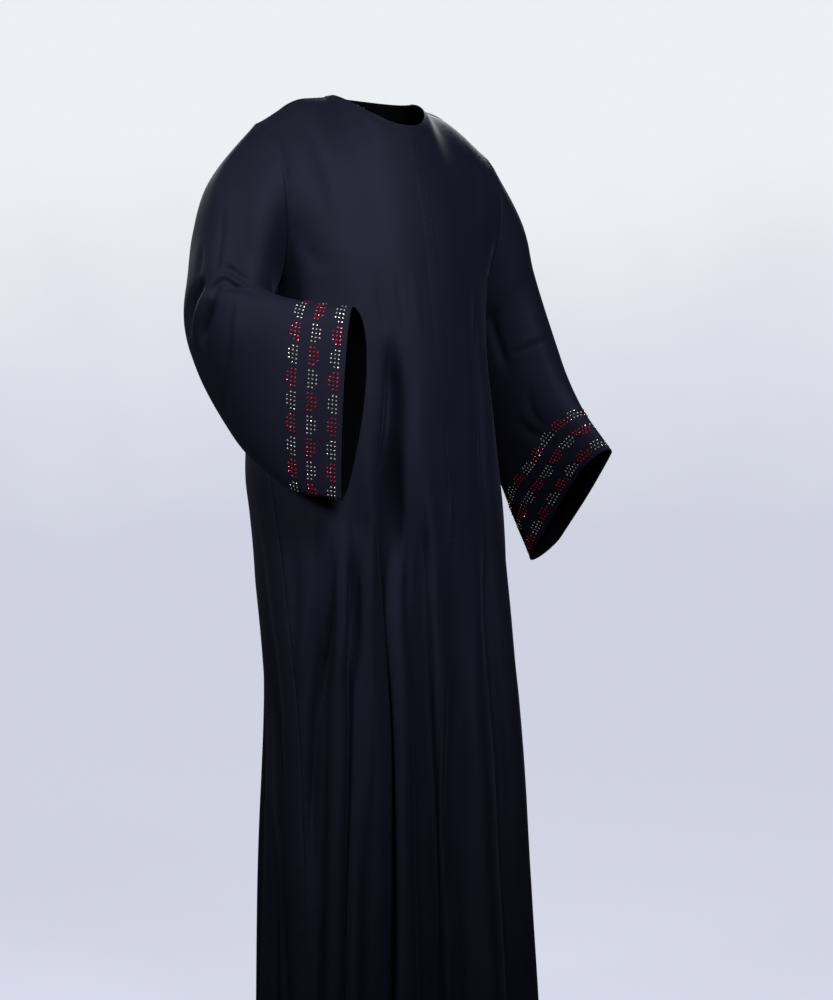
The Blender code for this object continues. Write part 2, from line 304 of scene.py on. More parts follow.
@dataclass(frozen=True)
class BodyForm:
    """The form of fronts and back: ovals with folds under the armpits, and cubics up to the yoke's seams."""

    hem_z: float = -1.385
    armpit_z: float = -0.3
    side_seam: tuple = ((-1.385, 72.0), (-1.15, 73.0), (-0.8, 80.0), (-0.3, 84.0))  # height, degrees
    centre_seam: tuple = (
        (-1.385, -12.5), (-1.03, -10.0), (-0.8, -6.0), (-0.7, -3.0), (-0.61, 1.0), (-0.44, 3.0), (-0.3, 0.0)
    )  # height, degrees
    neck_share: float = 0.42  # share of a half panel's columns that end at the neckline
    neck_side: Point = (0.074, 0.006, -0.004)
    neck_front: Point = (0.0, -0.082, -0.053)
    neck_back: Point = (0.0, 0.066, 0.004)
    right_tip: Point = (0.204, 0.008, -0.057)  # the shoulder tips, both as +X
    left_tip: Point = (0.202, 0.008, -0.064)
    neck_drop: float = 1.5  # how long the neckline stays level before it rises to its side
    shoulder_dome: float = 0.012
    rise: float = 0.27  # how strongly the yoke's cubics leave upwards
    rise_loss: float = 0.05  # less of it beside the armhole
    round_arm: Point = (0.04, 0.22, 0.0)  # and there this much out and round the arm
    to_neck: Point = (0.0, 0.11, 0.19)  # how they arrive at the neck, inwards and up
    to_seam: Point = (0.0, 0.23, 0.06)  # at the shoulder seam
    to_tip: Point = (0.0, 0.03, 0.02)  # and more of it beside the shoulder tip
    edge_from: float = 0.35  # share of the panel at which beside the armhole begins
    edge_power: float = 1.3
    corner_run: float = 0.08  # share past the neck by which the columns all arrive at the seam
    ease_rounds: int = 16
    ease_run: float = 4.0  # rows under the top over which the easing grows
    ease_kept: float = 0.6  # rows at the top that keep their place
    ease_low: int = 3  # rows under the armpits from which the cloth is eased
    ease_across: float = 0.75  # how much the neighbours in a point's own row count
    rings: tuple[Ring, ...] = (
        Ring(-1.385, 0.016, -0.044, 0.219, 0.171, 0.172),
        Ring(-1.11, 0.014, -0.038, 0.207, 0.163, 0.164),
        Ring(-0.9, 0.012, -0.033, 0.2, 0.157, 0.157),
        Ring(-0.755, 0.007, -0.021, 0.2, 0.158, 0.158),
        Ring(-0.66, 0.004, -0.013, 0.202, 0.16, 0.159),
        Ring(-0.55, -0.003, -0.002, 0.203, 0.162, 0.16),
        Ring(-0.43, 0.0, 0.004, 0.186, 0.16, 0.148),
        Ring(-0.36, 0.0, 0.005, 0.177, 0.157, 0.142),
        Ring(-0.3, 0.0, 0.006, 0.18, 0.153, 0.138),
    )
    folds: tuple[Fold, ...] = (
        Fold(-21, -17, -0.3, -0.56, -0.014, 7.0),
        Fold(-11, -7, -0.36, -0.66, 0.008, 6.5),
        Fold(0, -1, -0.62, -1.15, -0.014, 6.5),
        Fold(9, 12, -0.5, -1.1, 0.009, 9.0),
        Fold(24, 28, -0.4, -1.0, -0.012, 7.0),
        Fold(38, 41, -0.45, -1.05, 0.012, 7.5),
        Fold(52, 55, -0.5, -1.0, -0.012, 7.0),
        Fold(66, 69, -0.55, -1.1, 0.01, 7.0),
        Fold(-31, -29, -0.45, -0.95, 0.009, 6.5),
        Fold(-38, -42, -0.5, -0.9, -0.011, 6.5),
        Fold(-47, -54, -0.42, -0.85, 0.009, 6.5),
        Fold(-57, -67, -0.48, -0.9, -0.009, 6.5),
        Fold(-104, -90, -0.55, -0.95, -0.009, 6.5),
        Fold(86, 86, -0.6, -1.1, -0.011, 8.0),
        Fold(104, 103, -0.55, -1.05, 0.013, 8.0),
        Fold(122, 120, -0.45, -1.0, -0.014, 8.0),
        Fold(139, 137, -0.5, -1.05, 0.014, 8.5),
        Fold(156, 154, -0.42, -0.95, -0.015, 8.0),
        Fold(172, 172, -0.5, -1.1, 0.013, 8.5),
        Fold(188, 190, -0.45, -1.0, -0.013, 7.5),
        Fold(205, 206, -0.52, -1.05, 0.012, 8.0),
        Fold(221, 223, -0.44, -0.95, -0.015, 8.0),
        Fold(238, 240, -0.5, -1.1, 0.012, 8.0),
    )

    def fold_depth(self, angle: Array, z: Array) -> Array:
        """How far the folds push the cloth out: bells round each fold's own angle, grown with depth.

        Args:
            angle: Angles round from the centre front, in radians.
            z: Heights.

        Returns:
            The push, + out.
        """
        depth = np.zeros(np.broadcast(angle, z).shape)
        for fold in self.folds:
            grown = smooth(-z, -fold.start_z, -fold.full_z)
            run = np.clip((fold.start_z - z) / (fold.start_z - self.hem_z), 0.0, 1.0)
            middle = fold.top_angle + (fold.hem_angle - fold.top_angle) * run
            apart = (np.degrees(angle) - middle + 180.0) % 360.0 - 180.0
            depth = depth + fold.depth * grown * bell(apart, fold.width)
        return depth

    def point(self, angle: Array, z: Array) -> Array:
        """Points of the body: an oval's sine across and cosine deep at each level, pushed out by the folds.

        Args:
            angle: Angles round from the centre front, in radians.
            z: Heights at or under the armpits.

        Returns:
            The points.
        """
        table = [[r.centre_x, r.centre_y, r.half_x, r.front, r.back] for r in self.rings]
        levels = [r.z for r in self.rings]
        centre_x, centre_y, half_x, front, back = np.moveaxis(through(levels, table, z + 0.0 * angle), -1, 0)
        deep = np.where(np.cos(angle) > 0, front, back)
        out = unit(np.stack([np.sin(angle) / half_x, -np.cos(angle) / deep, 0.0 * angle * z], axis=-1))
        place = [centre_x + half_x * np.sin(angle), centre_y - deep * np.cos(angle), z + 0.0 * angle]
        return np.stack(place, axis=-1) + out * self.fold_depth(angle, z)[..., None]

    def top_edge(self, share: Array, front: bool, side: int) -> Array:
        """Half a panel's top edge: a quarter round of the neck, then a slightly domed line to the shoulder.

        Args:
            share: 0 at the middle of the neck to 1 at the shoulder tip.
            front: Whether it is a front.
            side: -1 for the wearer's right and +1 for the left.

        Returns:
            A point for each share.
        """
        turn = np.clip(share / self.neck_share, 0.0, 1.0)[..., None] * math.pi / 2
        middle, corner = np.array(self.neck_front if front else self.neck_back), np.array(self.neck_side)
        round_neck = corner * [1, 0, 0] * np.sin(turn) + middle * [0, 1, 0] * np.cos(turn)
        round_neck = round_neck + corner * [0, 1, 0] * (1.0 - np.cos(turn))
        falling = np.maximum(np.cos(turn), 0.0) ** self.neck_drop
        round_neck = round_neck + [0, 0, 1] * (corner + (middle - corner) * falling)
        along = np.clip((share - self.neck_share) / (1.0 - self.neck_share), 0.0, 1.0)[..., None]
        tip = np.array(self.left_tip if side > 0 else self.right_tip)
        domed = np.array([0.0, 0.0, self.shoulder_dome]) * np.sin(along * math.pi) ** 2
        shoulder = corner + (tip - corner) * along + domed
        return np.where(share[..., None] <= self.neck_share, round_neck, shoulder) * [side, 1, 1]

    def half_panel(self, front: bool, side: int) -> Array:
        """Half of the front or the back, rows from hem to top, columns from middle to side.

        Under the armpits the rows lie on the ovals. Above them each column is one cubic that leaves the last
        oval as it stands, goes round the arm near the armhole and lies flat at the shoulder seam.

        Args:
            front: Whether it is a front.
            side: -1 for the wearer's right and +1 for the left.

        Returns:
            The grid of points.
        """
        share = np.linspace(0.0, 1.0, PANEL_COLUMNS + 1)
        z = self.hem_z + (self.armpit_z - self.hem_z) * np.linspace(0.0, 1.0, SKIRT_ROWS + 1)
        seam = np.radians(np.interp(z, *zip(*self.side_seam)))[:, None]
        levels, degrees = np.transpose(self.centre_seam)
        middle = np.radians(through(levels, degrees[:, None], z)) if front else side * math.pi
        angle = middle + share * (side * seam - middle)
        skirt = self.point(angle, z[:, None])
        low = skirt[-1]
        top = self.top_edge(share, front, side)
        outwards, inwards = np.array([side, -1.0, 1.0]), np.array([side, 1.0, 1.0])
        if not front:
            outwards, inwards = inwards, outwards
        upright = unit(low - self.point(angle[-1], np.array(self.armpit_z - 0.02)))
        edge = smooth(share, self.edge_from, 1.0)[:, None] ** self.edge_power
        leave = upright * (self.rise - self.rise_loss * edge) + self.round_arm * outwards * edge
        corner = smooth(share, 0.0, self.neck_share + self.corner_run)[:, None]
        to_neck, to_seam, to_tip = (inwards * way for way in (self.to_neck, self.to_seam, self.to_tip))
        arrive = to_neck * (1.0 - corner) + to_seam * corner + to_tip * edge
        t = np.linspace(0.0, 1.0, YOKE_ROWS + 1)[1:, None, None]
        return np.concatenate([skirt, cubic(low, leave, top, arrive, t)])

    def eased(self, grid: Array) -> Array:
        """Evens the yoke out: each point moves half way to its neighbours' middle, and less near the top.

        Args:
            grid: A whole front or back.

        Returns:
            The eased grid.
        """
        grid = grid.copy()
        low = SKIRT_ROWS - self.ease_low
        from_top = np.arange(len(grid) - 2, 0, -1)[:, None, None]
        ease = 0.5 * np.clip((from_top - self.ease_kept) / self.ease_run, 0.0, 1.0)
        for _ in range(self.ease_rounds):
            beside = (grid[1:-1, :-2] + grid[1:-1, 2:]) / 2
            above = (grid[:-2, 1:-1] + grid[2:, 1:-1]) / 2
            middle = self.ease_across * beside + (1.0 - self.ease_across) * above
            inside = grid[1:-1, 1:-1]
            inside[low:] += (ease * (middle - inside))[low:]
        return grid

    def panel(self, front: bool) -> Array:
        """The whole front or back, columns from the wearer's left side seam to the right one."""
        left, right = self.half_panel(front, 1), self.half_panel(front, -1)
        return self.eased(np.concatenate([left[:, ::-1], right[:, 1:]], axis=1))


@dataclass(frozen=True)
class Section:
    """A section of a sleeve: its centre, the way to its outer side and the way to its front (upper) edge."""

    at: float  # share of the way from armhole to cuff
    centre: Point
    outer: Point
    front: Point
    taper: float = 0.0  # how much fuller the front edge is than the hanging edge
    lean: float = 0.0  # share of the depth moved from the outer side to the body's side
    crease: float = 1.0  # 1 is an oval, and more is flatter between its four ends


RIGHT_SECTIONS = (
    Section(0.0, (-0.192, 0.004, -0.178), (-0.012, 0.004, 0.121), (0.0, -0.068, 0.0)),
    Section(0.16, (-0.229, 0.013, -0.231), (-0.035, 0.007, 0.091), (0.0, -0.074, -0.008)),
    Section(0.34, (-0.243, 0.017, -0.292), (-0.043, 0.007, 0.057), (0.003, -0.079, 0.018)),
    Section(0.5, (-0.252, 0.01, -0.35), (-0.048, 0.005, 0.028), (0.005, -0.077, 0.052), 0.1),
    Section(0.66, (-0.24, -0.037, -0.4155), (-0.043, -0.012, 0.003), (0.0, -0.045, 0.1035), 0.3),
    Section(0.83, (-0.214, -0.107, -0.456), (-0.034, -0.013, 0.0), (0.003, -0.012, 0.131), 0.35, 0.2),
    Section(1.0, (-0.183, -0.19, -0.471), (-0.0245, -0.009, 0.0), (0.004, -0.008, 0.135), 0.3, 0.6),
)
LEFT_SECTIONS = (
    Section(0.0, (0.191, 0.004, -0.182), (0.011, 0.004, 0.118), (0.0, -0.068, 0.0)),
    Section(0.16, (0.228, 0.008, -0.232), (0.034, 0.003, 0.09), (0.0, -0.074, -0.008)),
    Section(0.36, (0.248, 0.012, -0.305), (0.044, -0.002, 0.05), (-0.002, -0.076, 0.022)),
    Section(0.6, (0.28, -0.008, -0.45), (0.045, 0.0, 0.018), (0.005, -0.078, 0.05), 0.1),
    Section(0.8, (0.299, -0.042, -0.538), (0.034, 0.014, -0.01), (0.012, -0.077, 0.072), 0.15, 0.0, 1.1),
    Section(1.0, (0.317, -0.081, -0.615), (0.015, 0.044, -0.054), (0.006, -0.09, 0.082), 0.0, 0.05, 1.5),
)


def sleeve_grid(sections: tuple[Section, ...], armhole: Array) -> Array:
    """The part's own grid of a sleeve: an oval round each level's centre, led into the armhole at its top.

    The columns start at the armpit, pass the front, the outer side and the back, and end at the armpit.

    Args:
        sections: The sleeve's sections.
        armhole: The points of the body's edge, which are the sleeve's first row.

    Returns:
        Rows from armhole to cuff.
    """
    turn = math.pi * (1.0 - 2.0 * np.arange(len(armhole)) / len(armhole))
    at = np.linspace(0.0, 1.0, SLEEVE_ROWS + 1)
    table = [[*s.centre, *s.outer, *s.front, s.taper, s.lean, s.crease] for s in sections]
    row = through([s.at for s in sections], table, at)[:, None, :]
    crease = row[..., 11:12]
    upper, side = (np.sign(w) * np.abs(w) ** crease for w in (np.sin(turn)[:, None], np.cos(turn)[:, None]))
    fullness = (1.0 + row[..., 9:10] * upper) * (1.0 - np.sign(side) * row[..., 10:11])
    oval = row[..., 0:3] + row[..., 6:9] * upper + row[..., 3:6] * side * fullness
    leftover = (armhole - oval[0])[None]
    return oval + leftover * (1.0 - smooth(at, 0.0, LED_IN))[:, None, None]


class Edge(Enum):
    """An edge of a patch of cloth."""

    FIRST_ROW = "first row"
    LAST_ROW = "last row"
    FIRST_COLUMN = "first column"
    LAST_COLUMN = "last column"

    def first(self, values: Array) -> Array:
        """Turns a grid so that this edge is its first row.

        Args:
            values: The grid.

        Returns:
            The turned grid.
        """
        if self in (Edge.FIRST_COLUMN, Edge.LAST_COLUMN):
            values = np.swapaxes(values, 0, 1)
        return values[::-1] if self in (Edge.LAST_ROW, Edge.LAST_COLUMN) else values

    def back(self, values: Array) -> Array:
        """Turns a grid back, from this edge as its first row.

        Args:
            values: The turned grid.

        Returns:
            The grid.
        """
        values = values[::-1] if self in (Edge.LAST_ROW, Edge.LAST_COLUMN) else values
        return np.swapaxes(values, 0, 1) if self in (Edge.FIRST_COLUMN, Edge.LAST_COLUMN) else values


@dataclass
class Patch:
    """A fine grid of points on one piece of cloth, rows by columns."""

    points: Array
    across: Array  # each column's share of the piece's width
    up: Array  # each row's share of its length
    closed: bool = False  # whether the last column is followed by the first
    flip: bool = False  # whether rows and columns turn the other way round the outside

    def normals(self) -> Array:
        """Unit normals that point out: the slope along the columns crossed with the slope along the rows.

        Returns:
            A normal for each point.
        """
        points = self.points
        if self.closed:
            points = np.concatenate([points[:, -1:], points, points[:, :1]], axis=1)
        along_row, along_column = np.gradient(points, axis=1), np.gradient(points, axis=0)
        normal = unit(np.cross(along_row, along_column)) * (-1.0 if self.flip else 1.0)
        return normal[:, 1:-1] if self.closed else normal

    def from_edge(self, edge: Edge) -> Array:
        """How far each point lies from an edge, as the sum of the steps along its row or column.

        Args:
            edge: The edge.

        Returns:
            The distances.
        """
        turned = edge.first(self.points)
        steps = np.linalg.norm(np.diff(turned, axis=0), axis=-1)
        return edge.back(np.concatenate([np.zeros((1, steps.shape[1])), np.cumsum(steps, axis=0)]))

    def line(self, edge: Edge, distance: float) -> tuple[Array, Array]:
        """The line at one distance from an edge, read between the two points beside it in each row or column.

        Args:
            edge: The edge.
            distance: How far from it.

        Returns:
            The line's points and its normals. On a tube the first point follows the last again.
        """
        far, points, normals = (edge.first(a) for a in (self.from_edge(edge), self.points, self.normals()))
        columns = np.arange(far.shape[1])
        k = np.clip((far <= distance).sum(axis=0) - 1, 0, len(far) - 2)
        t = ((distance - far[k, columns]) / (far[k + 1, columns] - far[k, columns]))[:, None]
        place = points[k, columns] * (1 - t) + points[k + 1, columns] * t
        normal = unit(normals[k, columns] * (1 - t) + normals[k + 1, columns] * t)
        if self.closed and edge in (Edge.FIRST_ROW, Edge.LAST_ROW):
            return np.vstack([place, place[:1]]), np.vstack([normal, normal[:1]])
        return place, normal

    def read(self, across: Array, up: Array, values: Array) -> Array:
        """Values of the grid between its points, weighed by how near each neighbour is.

        Args:
            across: Shares of the width.
            up: Shares of the length.
            values: A grid of vectors with this patch's rows and columns.

        Returns:
            A vector for each pair of shares.
        """
        row = np.interp(up, self.up, np.arange(len(self.up)))
        column = np.interp(across, self.across, np.arange(len(self.across)))
        r = np.clip(np.floor(row).astype(int), 0, len(self.up) - 2)
        c = np.clip(np.floor(column).astype(int), 0, len(self.across) - 2)
        s, t = (row - r)[:, None], (column - c)[:, None]
        low = values[r, c] * (1 - t) + values[r, c + 1] * t
        high = values[r + 1, c] * (1 - t) + values[r + 1, c + 1] * t
        return low * (1 - s) + high * s

    def pushed(self, push: Array) -> "Patch":
        """The same patch with each point moved out along its normal."""
        moved = self.points + self.normals() * push[..., None]
        return Patch(moved, self.across, self.up, self.closed, self.flip)

    def mesh(self, name: str) -> bpy.types.Mesh:
        """The patch as a smooth mesh of four-cornered faces, with a UV map in metres of cloth.

        U is the length along the row from its first column, and V that along the column from its first row.

        Args:
            name: The mesh's name.

        Returns:
            The mesh.
        """
        rows, columns = self.points.shape[:2]
        wide = columns if self.closed else columns - 1
        r, c = np.meshgrid(np.arange(rows - 1), np.arange(wide), indexing="ij")
        corner_rows = np.stack([r, r, r + 1, r + 1], axis=-1).reshape(-1, 4)
        corner_columns = np.stack([c, c + 1, c + 1, c], axis=-1).reshape(-1, 4)
        if self.flip:
            corner_rows, corner_columns = corner_rows[:, ::-1], corner_columns[:, ::-1]
        faces = corner_rows * columns + corner_columns % columns
        mesh = bpy.data.meshes.new(name)
        mesh.from_pydata(self.points.reshape(-1, 3).tolist(), [], faces.tolist(), shade_flat=False)
        whole = self
        if self.closed:
            whole = Patch(np.concatenate([self.points, self.points[:, :1]], axis=1), self.across, self.up)
        uv = np.stack([whole.from_edge(Edge.FIRST_COLUMN), whole.from_edge(Edge.FIRST_ROW)], axis=-1)
        corners = uv[corner_rows.ravel(), corner_columns.ravel()].astype(np.float32)
        mesh.uv_layers.new(name="cloth").uv.foreach_set("vector", corners.ravel())
        mesh.update()
        return mesh


@dataclass(frozen=True)
class LaidCrease:
    """A crease's line in space. It pushes all the cloth that it passes, so it runs on over the seams."""

    line: Array
    out: Array  # the cloth's normal at each point of the line
    push: Array  # metres at each point of the line
    width: float  # metres
    alike: float = 0.6  # from this cosine between the cloth's normal and its own, it has its whole push

    def lift(self, patch: Patch, normals: Array) -> Array:
        """The push at the nearest point of the line times a bell of the distance to its tangent there.

        Args:
            patch: The cloth.
            normals: The cloth's normals.

        Returns:
            The push at each point of the patch. Cloth that faces another way than the line is left alone.
        """
        flat = patch.points.reshape(-1, 3)
        square = (flat**2).sum(1)[:, None] + (self.line**2).sum(1) - 2 * flat @ self.line.T
        near = square.argmin(axis=1)
        steps = np.gradient(self.line, axis=0)
        step = np.linalg.norm(steps, axis=1)[near]
        apart = flat - self.line[near]
        along = np.clip((apart * unit(steps)[near]).sum(1), -step, step)
        gap = np.linalg.norm(apart - along[:, None] * unit(steps)[near], axis=1)
        push = np.interp(near + along / np.maximum(step, 1e-9), np.arange(len(self.push)), self.push)
        alike = smooth((normals.reshape(-1, 3) * self.out[near]).sum(1), 0.0, self.alike)
        return (push * bell(gap, self.width) * alike).reshape(patch.points.shape[:2])


@dataclass(frozen=True)
class Crease:
    """A soft trough or ridge, set on a piece."""

    depth: float  # millimetres, + out, - in
    width: float  # half width, in millimetres
    fade: float  # share of its length over which each end dies away
    path: tuple[tuple[int, int], ...]  # points that it runs through, in thousandths across and up
    places: int = 90  # how many places its line is read at

    def laid(self, patch: Patch) -> LaidCrease:
        """The crease's line on its own piece. Its push dies away at its ends, but not at a hem.

        Args:
            patch: The piece.

        Returns:
            The line in space.
        """
        at = np.linspace(0.0, 1.0, self.places)
        across, up = through(np.linspace(0.0, 1.0, len(self.path)), np.array(self.path) / 1000.0, at).T
        line = patch.read(across, up, patch.points)
        out = unit(patch.read(across, up, patch.normals()))
        fades = smooth(at, 0.0, self.fade)
        if self.path[-1][1] > 0:
            fades = fades * (1.0 - smooth(at, 1.0 - self.fade, 1.0))
        return LaidCrease(line, out, self.depth * MM * fades, self.width * MM)


def creases(*rows: tuple[float, ...]) -> tuple[Crease, ...]:
    """Creases from rows of depth, half width, fade, and the path's thousandths across and up by turns."""
    return tuple(Crease(*row[:3], tuple(zip(row[3::2], row[4::2]))) for row in rows)


@dataclass(frozen=True)
class Sway:
    """The faint unevenness of hanging cloth: a few broad waves that cross each other."""

    seed: int
    height: float = 0.35  # millimetres of each wave
    waves: int = 6
    shortest: float = 0.07
    longest: float = 0.24
    lean: float = 0.5  # the most that a wave's way leans, in radians
    squash: float = 0.6  # how much longer waves are down the cloth

    def lift(self, patch: Patch) -> Array:
        """The sum of sines over the cloth, each with its own drawn way, length and start.

        Args:
            patch: The cloth.

        Returns:
            The push at each point.
        """
        rng = np.random.default_rng(self.seed)
        u, v = patch.from_edge(Edge.FIRST_COLUMN), patch.from_edge(Edge.FIRST_ROW)
        if patch.closed:
            u = patch.points[..., 0] + patch.points[..., 1]
        total = np.zeros(u.shape)
        for _ in range(self.waves):
            length = rng.uniform(self.shortest, self.longest)
            lean = rng.uniform(-self.lean, self.lean)
            start = rng.uniform(0.0, 2.0 * math.pi)
            way = u * math.cos(lean) + v * math.sin(lean) * self.squash
            total += np.sin(2.0 * math.pi * way / length + start)
        return total * self.height * MM


@dataclass(frozen=True)
class Seam:
    """A sewn edge: the cloth dips to the stitches, and puckers a little beside them."""

    dip: float = 0.9  # millimetres
    dip_width: float = 1.7
    pucker: float = 0.28
    pucker_width: float = 12.0
    pucker_length: float = 27.0
    pucker_from: float = 4.0  # millimetres from the edge at which the puckers are whole
    drift: float = 1.7  # radians by which the puckers wander from even steps
    drift_length: float = 61.0

    def lift(self, patch: Patch, edge: Edge, strength: float = 1.0) -> Array:
        """Minus a bell of the distance to the edge, and a bell times a sine of the way along it.

        Args:
            patch: The cloth.
            edge: The sewn edge.
            strength: How strong the puckers are.

        Returns:
            The push at each point.
        """
        far = patch.from_edge(edge) / MM
        start = Edge.FIRST_COLUMN if edge in (Edge.FIRST_ROW, Edge.LAST_ROW) else Edge.FIRST_ROW
        along = patch.from_edge(start) / MM
        wander = self.drift * np.sin(along / self.drift_length)
        wave = np.sin(2.0 * math.pi * along / self.pucker_length + wander)
        near = bell(far, self.pucker_width)
        rise = strength * self.pucker * wave * near * smooth(far, 0.0, self.pucker_from)
        return (rise - self.dip * bell(far, self.dip_width)) * MM


@dataclass(frozen=True)
class Hem:
    """A folded and stitched edge: the doubled band stands a little proud, down to a dip at the stitches."""

    band: float  # width in millimetres
    rise: float = 0.35
    dip: float = 0.45
    dip_width: float = 1.4
    slope: float = 2.5
    rounding: float = 0.25
    rounding_width: float = 0.8

    def lift(self, patch: Patch, edge: Edge) -> Array:
        """A step at the band's width less a bell there, and a small round-off at the very edge.

        Args:
            patch: The cloth.
            edge: The hemmed edge.

        Returns:
            The push at each point.
        """
        far = patch.from_edge(edge) / MM
        step = self.rise * (1.0 - smooth(far, self.band, self.band + self.slope))
        dip = self.dip * bell(far - self.band, self.dip_width)
        return (step - dip - self.rounding * bell(far, self.rounding_width)) * MM


class Paint:
    """A short way to lay out a material's nodes."""

    def __init__(self, name: str) -> None:
        """Starts a material that has only its shader and its output.

        Args:
            name: The material's name.
        """
        self.material = bpy.data.materials.new(name)
        self.material.use_nodes = True
        self.tree = self.material.node_tree
        self.shader = self.tree.nodes["Principled BSDF"]

    def put(self, node: bpy.types.Node, name: str | int, value: object) -> None:
        """Sets a socket of a node, or joins it to the socket given as its value.

        Args:
            node: The node.
            name: The socket's name, with underscores for spaces, or its number.
            value: What it gets.
        """
        end = node.inputs[name.replace("_", " ") if isinstance(name, str) else name]
        if isinstance(value, Socket):
            self.tree.links.new(value, end)
        else:
            end.default_value = value

    def node(self, kind: str, output: str, **values: object) -> Socket:
        """Adds a node.

        Args:
            kind: Its kind.
            output: The socket to read from it.
            values: Its settings, in small letters, and its sockets, with a capital.

        Returns:
            The socket to read.
        """
        node = self.tree.nodes.new("ShaderNode" + kind)
        for name, value in values.items():
            if name[0].islower():
                setattr(node, name, value)
            else:
                self.put(node, name, value)
        return node.outputs[output]

    def set(self, **values: object) -> None:
        """Sets the shader's own sockets."""
        for name, value in values.items():
            self.put(self.shader, name, value)

    def noise(self, at: Socket, scale: float, detail: float, **more: float) -> Socket:
        """Noise from 0 to 1, with so many clouds a metre."""
        return self.node("TexNoise", "Fac", Vector=at, Scale=scale, Detail=detail, **more)

    def span(self, value: Socket, low: float, high: float) -> Socket:
        """A value from 0 to 1 spread over low to high."""
        return self.node("MapRange", "Result", Value=value, To_Min=low, To_Max=high)

    def sum(self, value: Socket, times: float, more: Socket) -> Socket:
        """A value times a number, plus another value.

        Args:
            value: The first value.
            times: Its factor.
            more: The other value.

        Returns:
            The sum.
        """
        node = self.tree.nodes.new("ShaderNodeMath")
        node.operation = "MULTIPLY_ADD"
        for number, given in enumerate((value, times, more)):
            self.put(node, number, given)
        return node.outputs["Value"]

    def tones(self, value: Socket, ends: tuple, dark: Colour, light: Colour) -> Socket:
        """Colours from dark to light.

        Args:
            value: What chooses the colour.
            ends: The values of the darkest and the lightest.
            dark: The darkest.
            light: The lightest.

        Returns:
            The colour.
        """
        ramp = self.tree.nodes.new("ShaderNodeValToRGB")
        for element, place, colour in zip(ramp.color_ramp.elements, ends, (dark, light)):
            element.position = place
            element.color = (*colour, 1.0)
        self.put(ramp, "Fac", value)
        return ramp.outputs["Color"]


@dataclass(frozen=True)
class CrepeFinish:
    """Navy-black crepe: close tones, a fine pebbled grain along the thread, and a soft bluish sheen."""

    name: str = "navy_black_crepe"
    dark: Colour = (0.0034, 0.0033, 0.0074)
    light: Colour = (0.0053, 0.0052, 0.0114)
    grain: float = 1150.0  # pebbles a metre
    cloud: float = 9.0  # broad tones a metre
    grain_height: float = 0.00016
    grain_shape: Point = (0.55, 1.0, 1.0)  # pebbles are longer down the thread
    tone_ends: tuple[float, float] = (0.32, 0.68)
    rough_ends: tuple[float, float] = (0.74, 0.58)  # in the grain's hollows and on its tops
    sheen: float = 0.02
    sheen_tint: Colour = (0.6, 0.66, 1.0)
    gloss: float = 0.1
    gloss_tint: Colour = (0.68, 0.71, 1.0)

    def build(self) -> bpy.types.Material:
        """The material: noise in cloth metres gives the tones, the gloss and the height of the grain.

        Returns:
            The material.
        """
        paint = Paint(self.name)
        uv = paint.node("UVMap", "UV", uv_map="cloth")
        along = paint.node("Mapping", "Vector", vector_type="TEXTURE", Vector=uv, Scale=self.grain_shape)
        pebbles = paint.noise(along, self.grain, 3.0, Roughness=0.62, Distortion=0.4)
        clouds = paint.noise(uv, self.cloud, 4.0)
        both = paint.sum(pebbles, 0.55, paint.span(clouds, 0.0, 0.45))
        bump = paint.node("Bump", "Normal", Strength=0.6, Distance=self.grain_height, Height=pebbles)
        paint.set(Base_Color=paint.tones(both, self.tone_ends, self.dark, self.light), Normal=bump)
        paint.set(Roughness=paint.span(pebbles, *self.rough_ends), Specular_IOR_Level=self.gloss)
        paint.set(Sheen_Weight=self.sheen, Sheen_Roughness=0.42, Sheen_Tint=(*self.sheen_tint, 1.0))
        paint.set(Specular_Tint=(*self.gloss_tint, 1.0))
        return paint.material


class StoneColour(Enum):
    """The two colours of the cuffs' stones."""

    CRYSTAL = "crystal"
    RED = "red"


@dataclass(frozen=True)
class StoneFinish:
    """A foil-backed glass stone: a mirror-like body under a clear coat, each stone a little different."""

    name: str
    low: Colour
    high: Colour
    roughness: float = 0.27

    def build(self) -> bpy.types.Material:
        """The material: each stone's own drawn number picks its tone, and a fine noise clouds its foil.

        Returns:
            The material: each stone's own drawn number and a painted highlight that lightens its top facets pick its
                tone, and a fine noise clouds its foil.
        """
        paint = Paint(self.name)
        # half a drawn tone for each stone and half a painted highlight that rises to the table
        own = paint.node("Attribute", "Fac", attribute_name="stone_tone")
        foil = paint.noise(paint.node("TexCoord", "Object"), 900.0, 2.0)
        both = paint.sum(foil, 0.3, paint.span(own, 0.0, 0.7))
        paint.set(Base_Color=paint.tones(both, (0.1, 0.9), self.low, self.high))
        paint.set(Roughness=paint.span(foil, self.roughness * 0.6, self.roughness * 1.4))
        paint.set(Metallic=0.6, Coat_Weight=0.4, Coat_Roughness=0.05, IOR=1.56)
        return paint.material


@dataclass(frozen=True)
class ThreadFinish:
    """Satin sewing thread, a shade lighter than the crepe, with the turns of its twist."""

    name: str = "navy_thread"
    dark: Colour = (0.0045, 0.0045, 0.0095)
    light: Colour = (0.008, 0.008, 0.016)

    def build(self) -> bpy.types.Material:
        """The material: slanting waves in space give the twist its tones and its relief.

        Returns:
            The material.
        """
        paint = Paint(self.name)
        space = paint.node("TexCoord", "Object")
        twist = paint.node("TexWave", "Fac", Vector=space, Scale=700.0, Distortion=1.0, Detail=1.0)
        bump = paint.node("Bump", "Normal", Distance=0.00005, Height=twist)
        paint.set(Base_Color=paint.tones(twist, (0.2, 0.8), self.dark, self.light), Normal=bump)
        paint.set(Roughness=0.5, Specular_IOR_Level=0.25)
        return paint.material


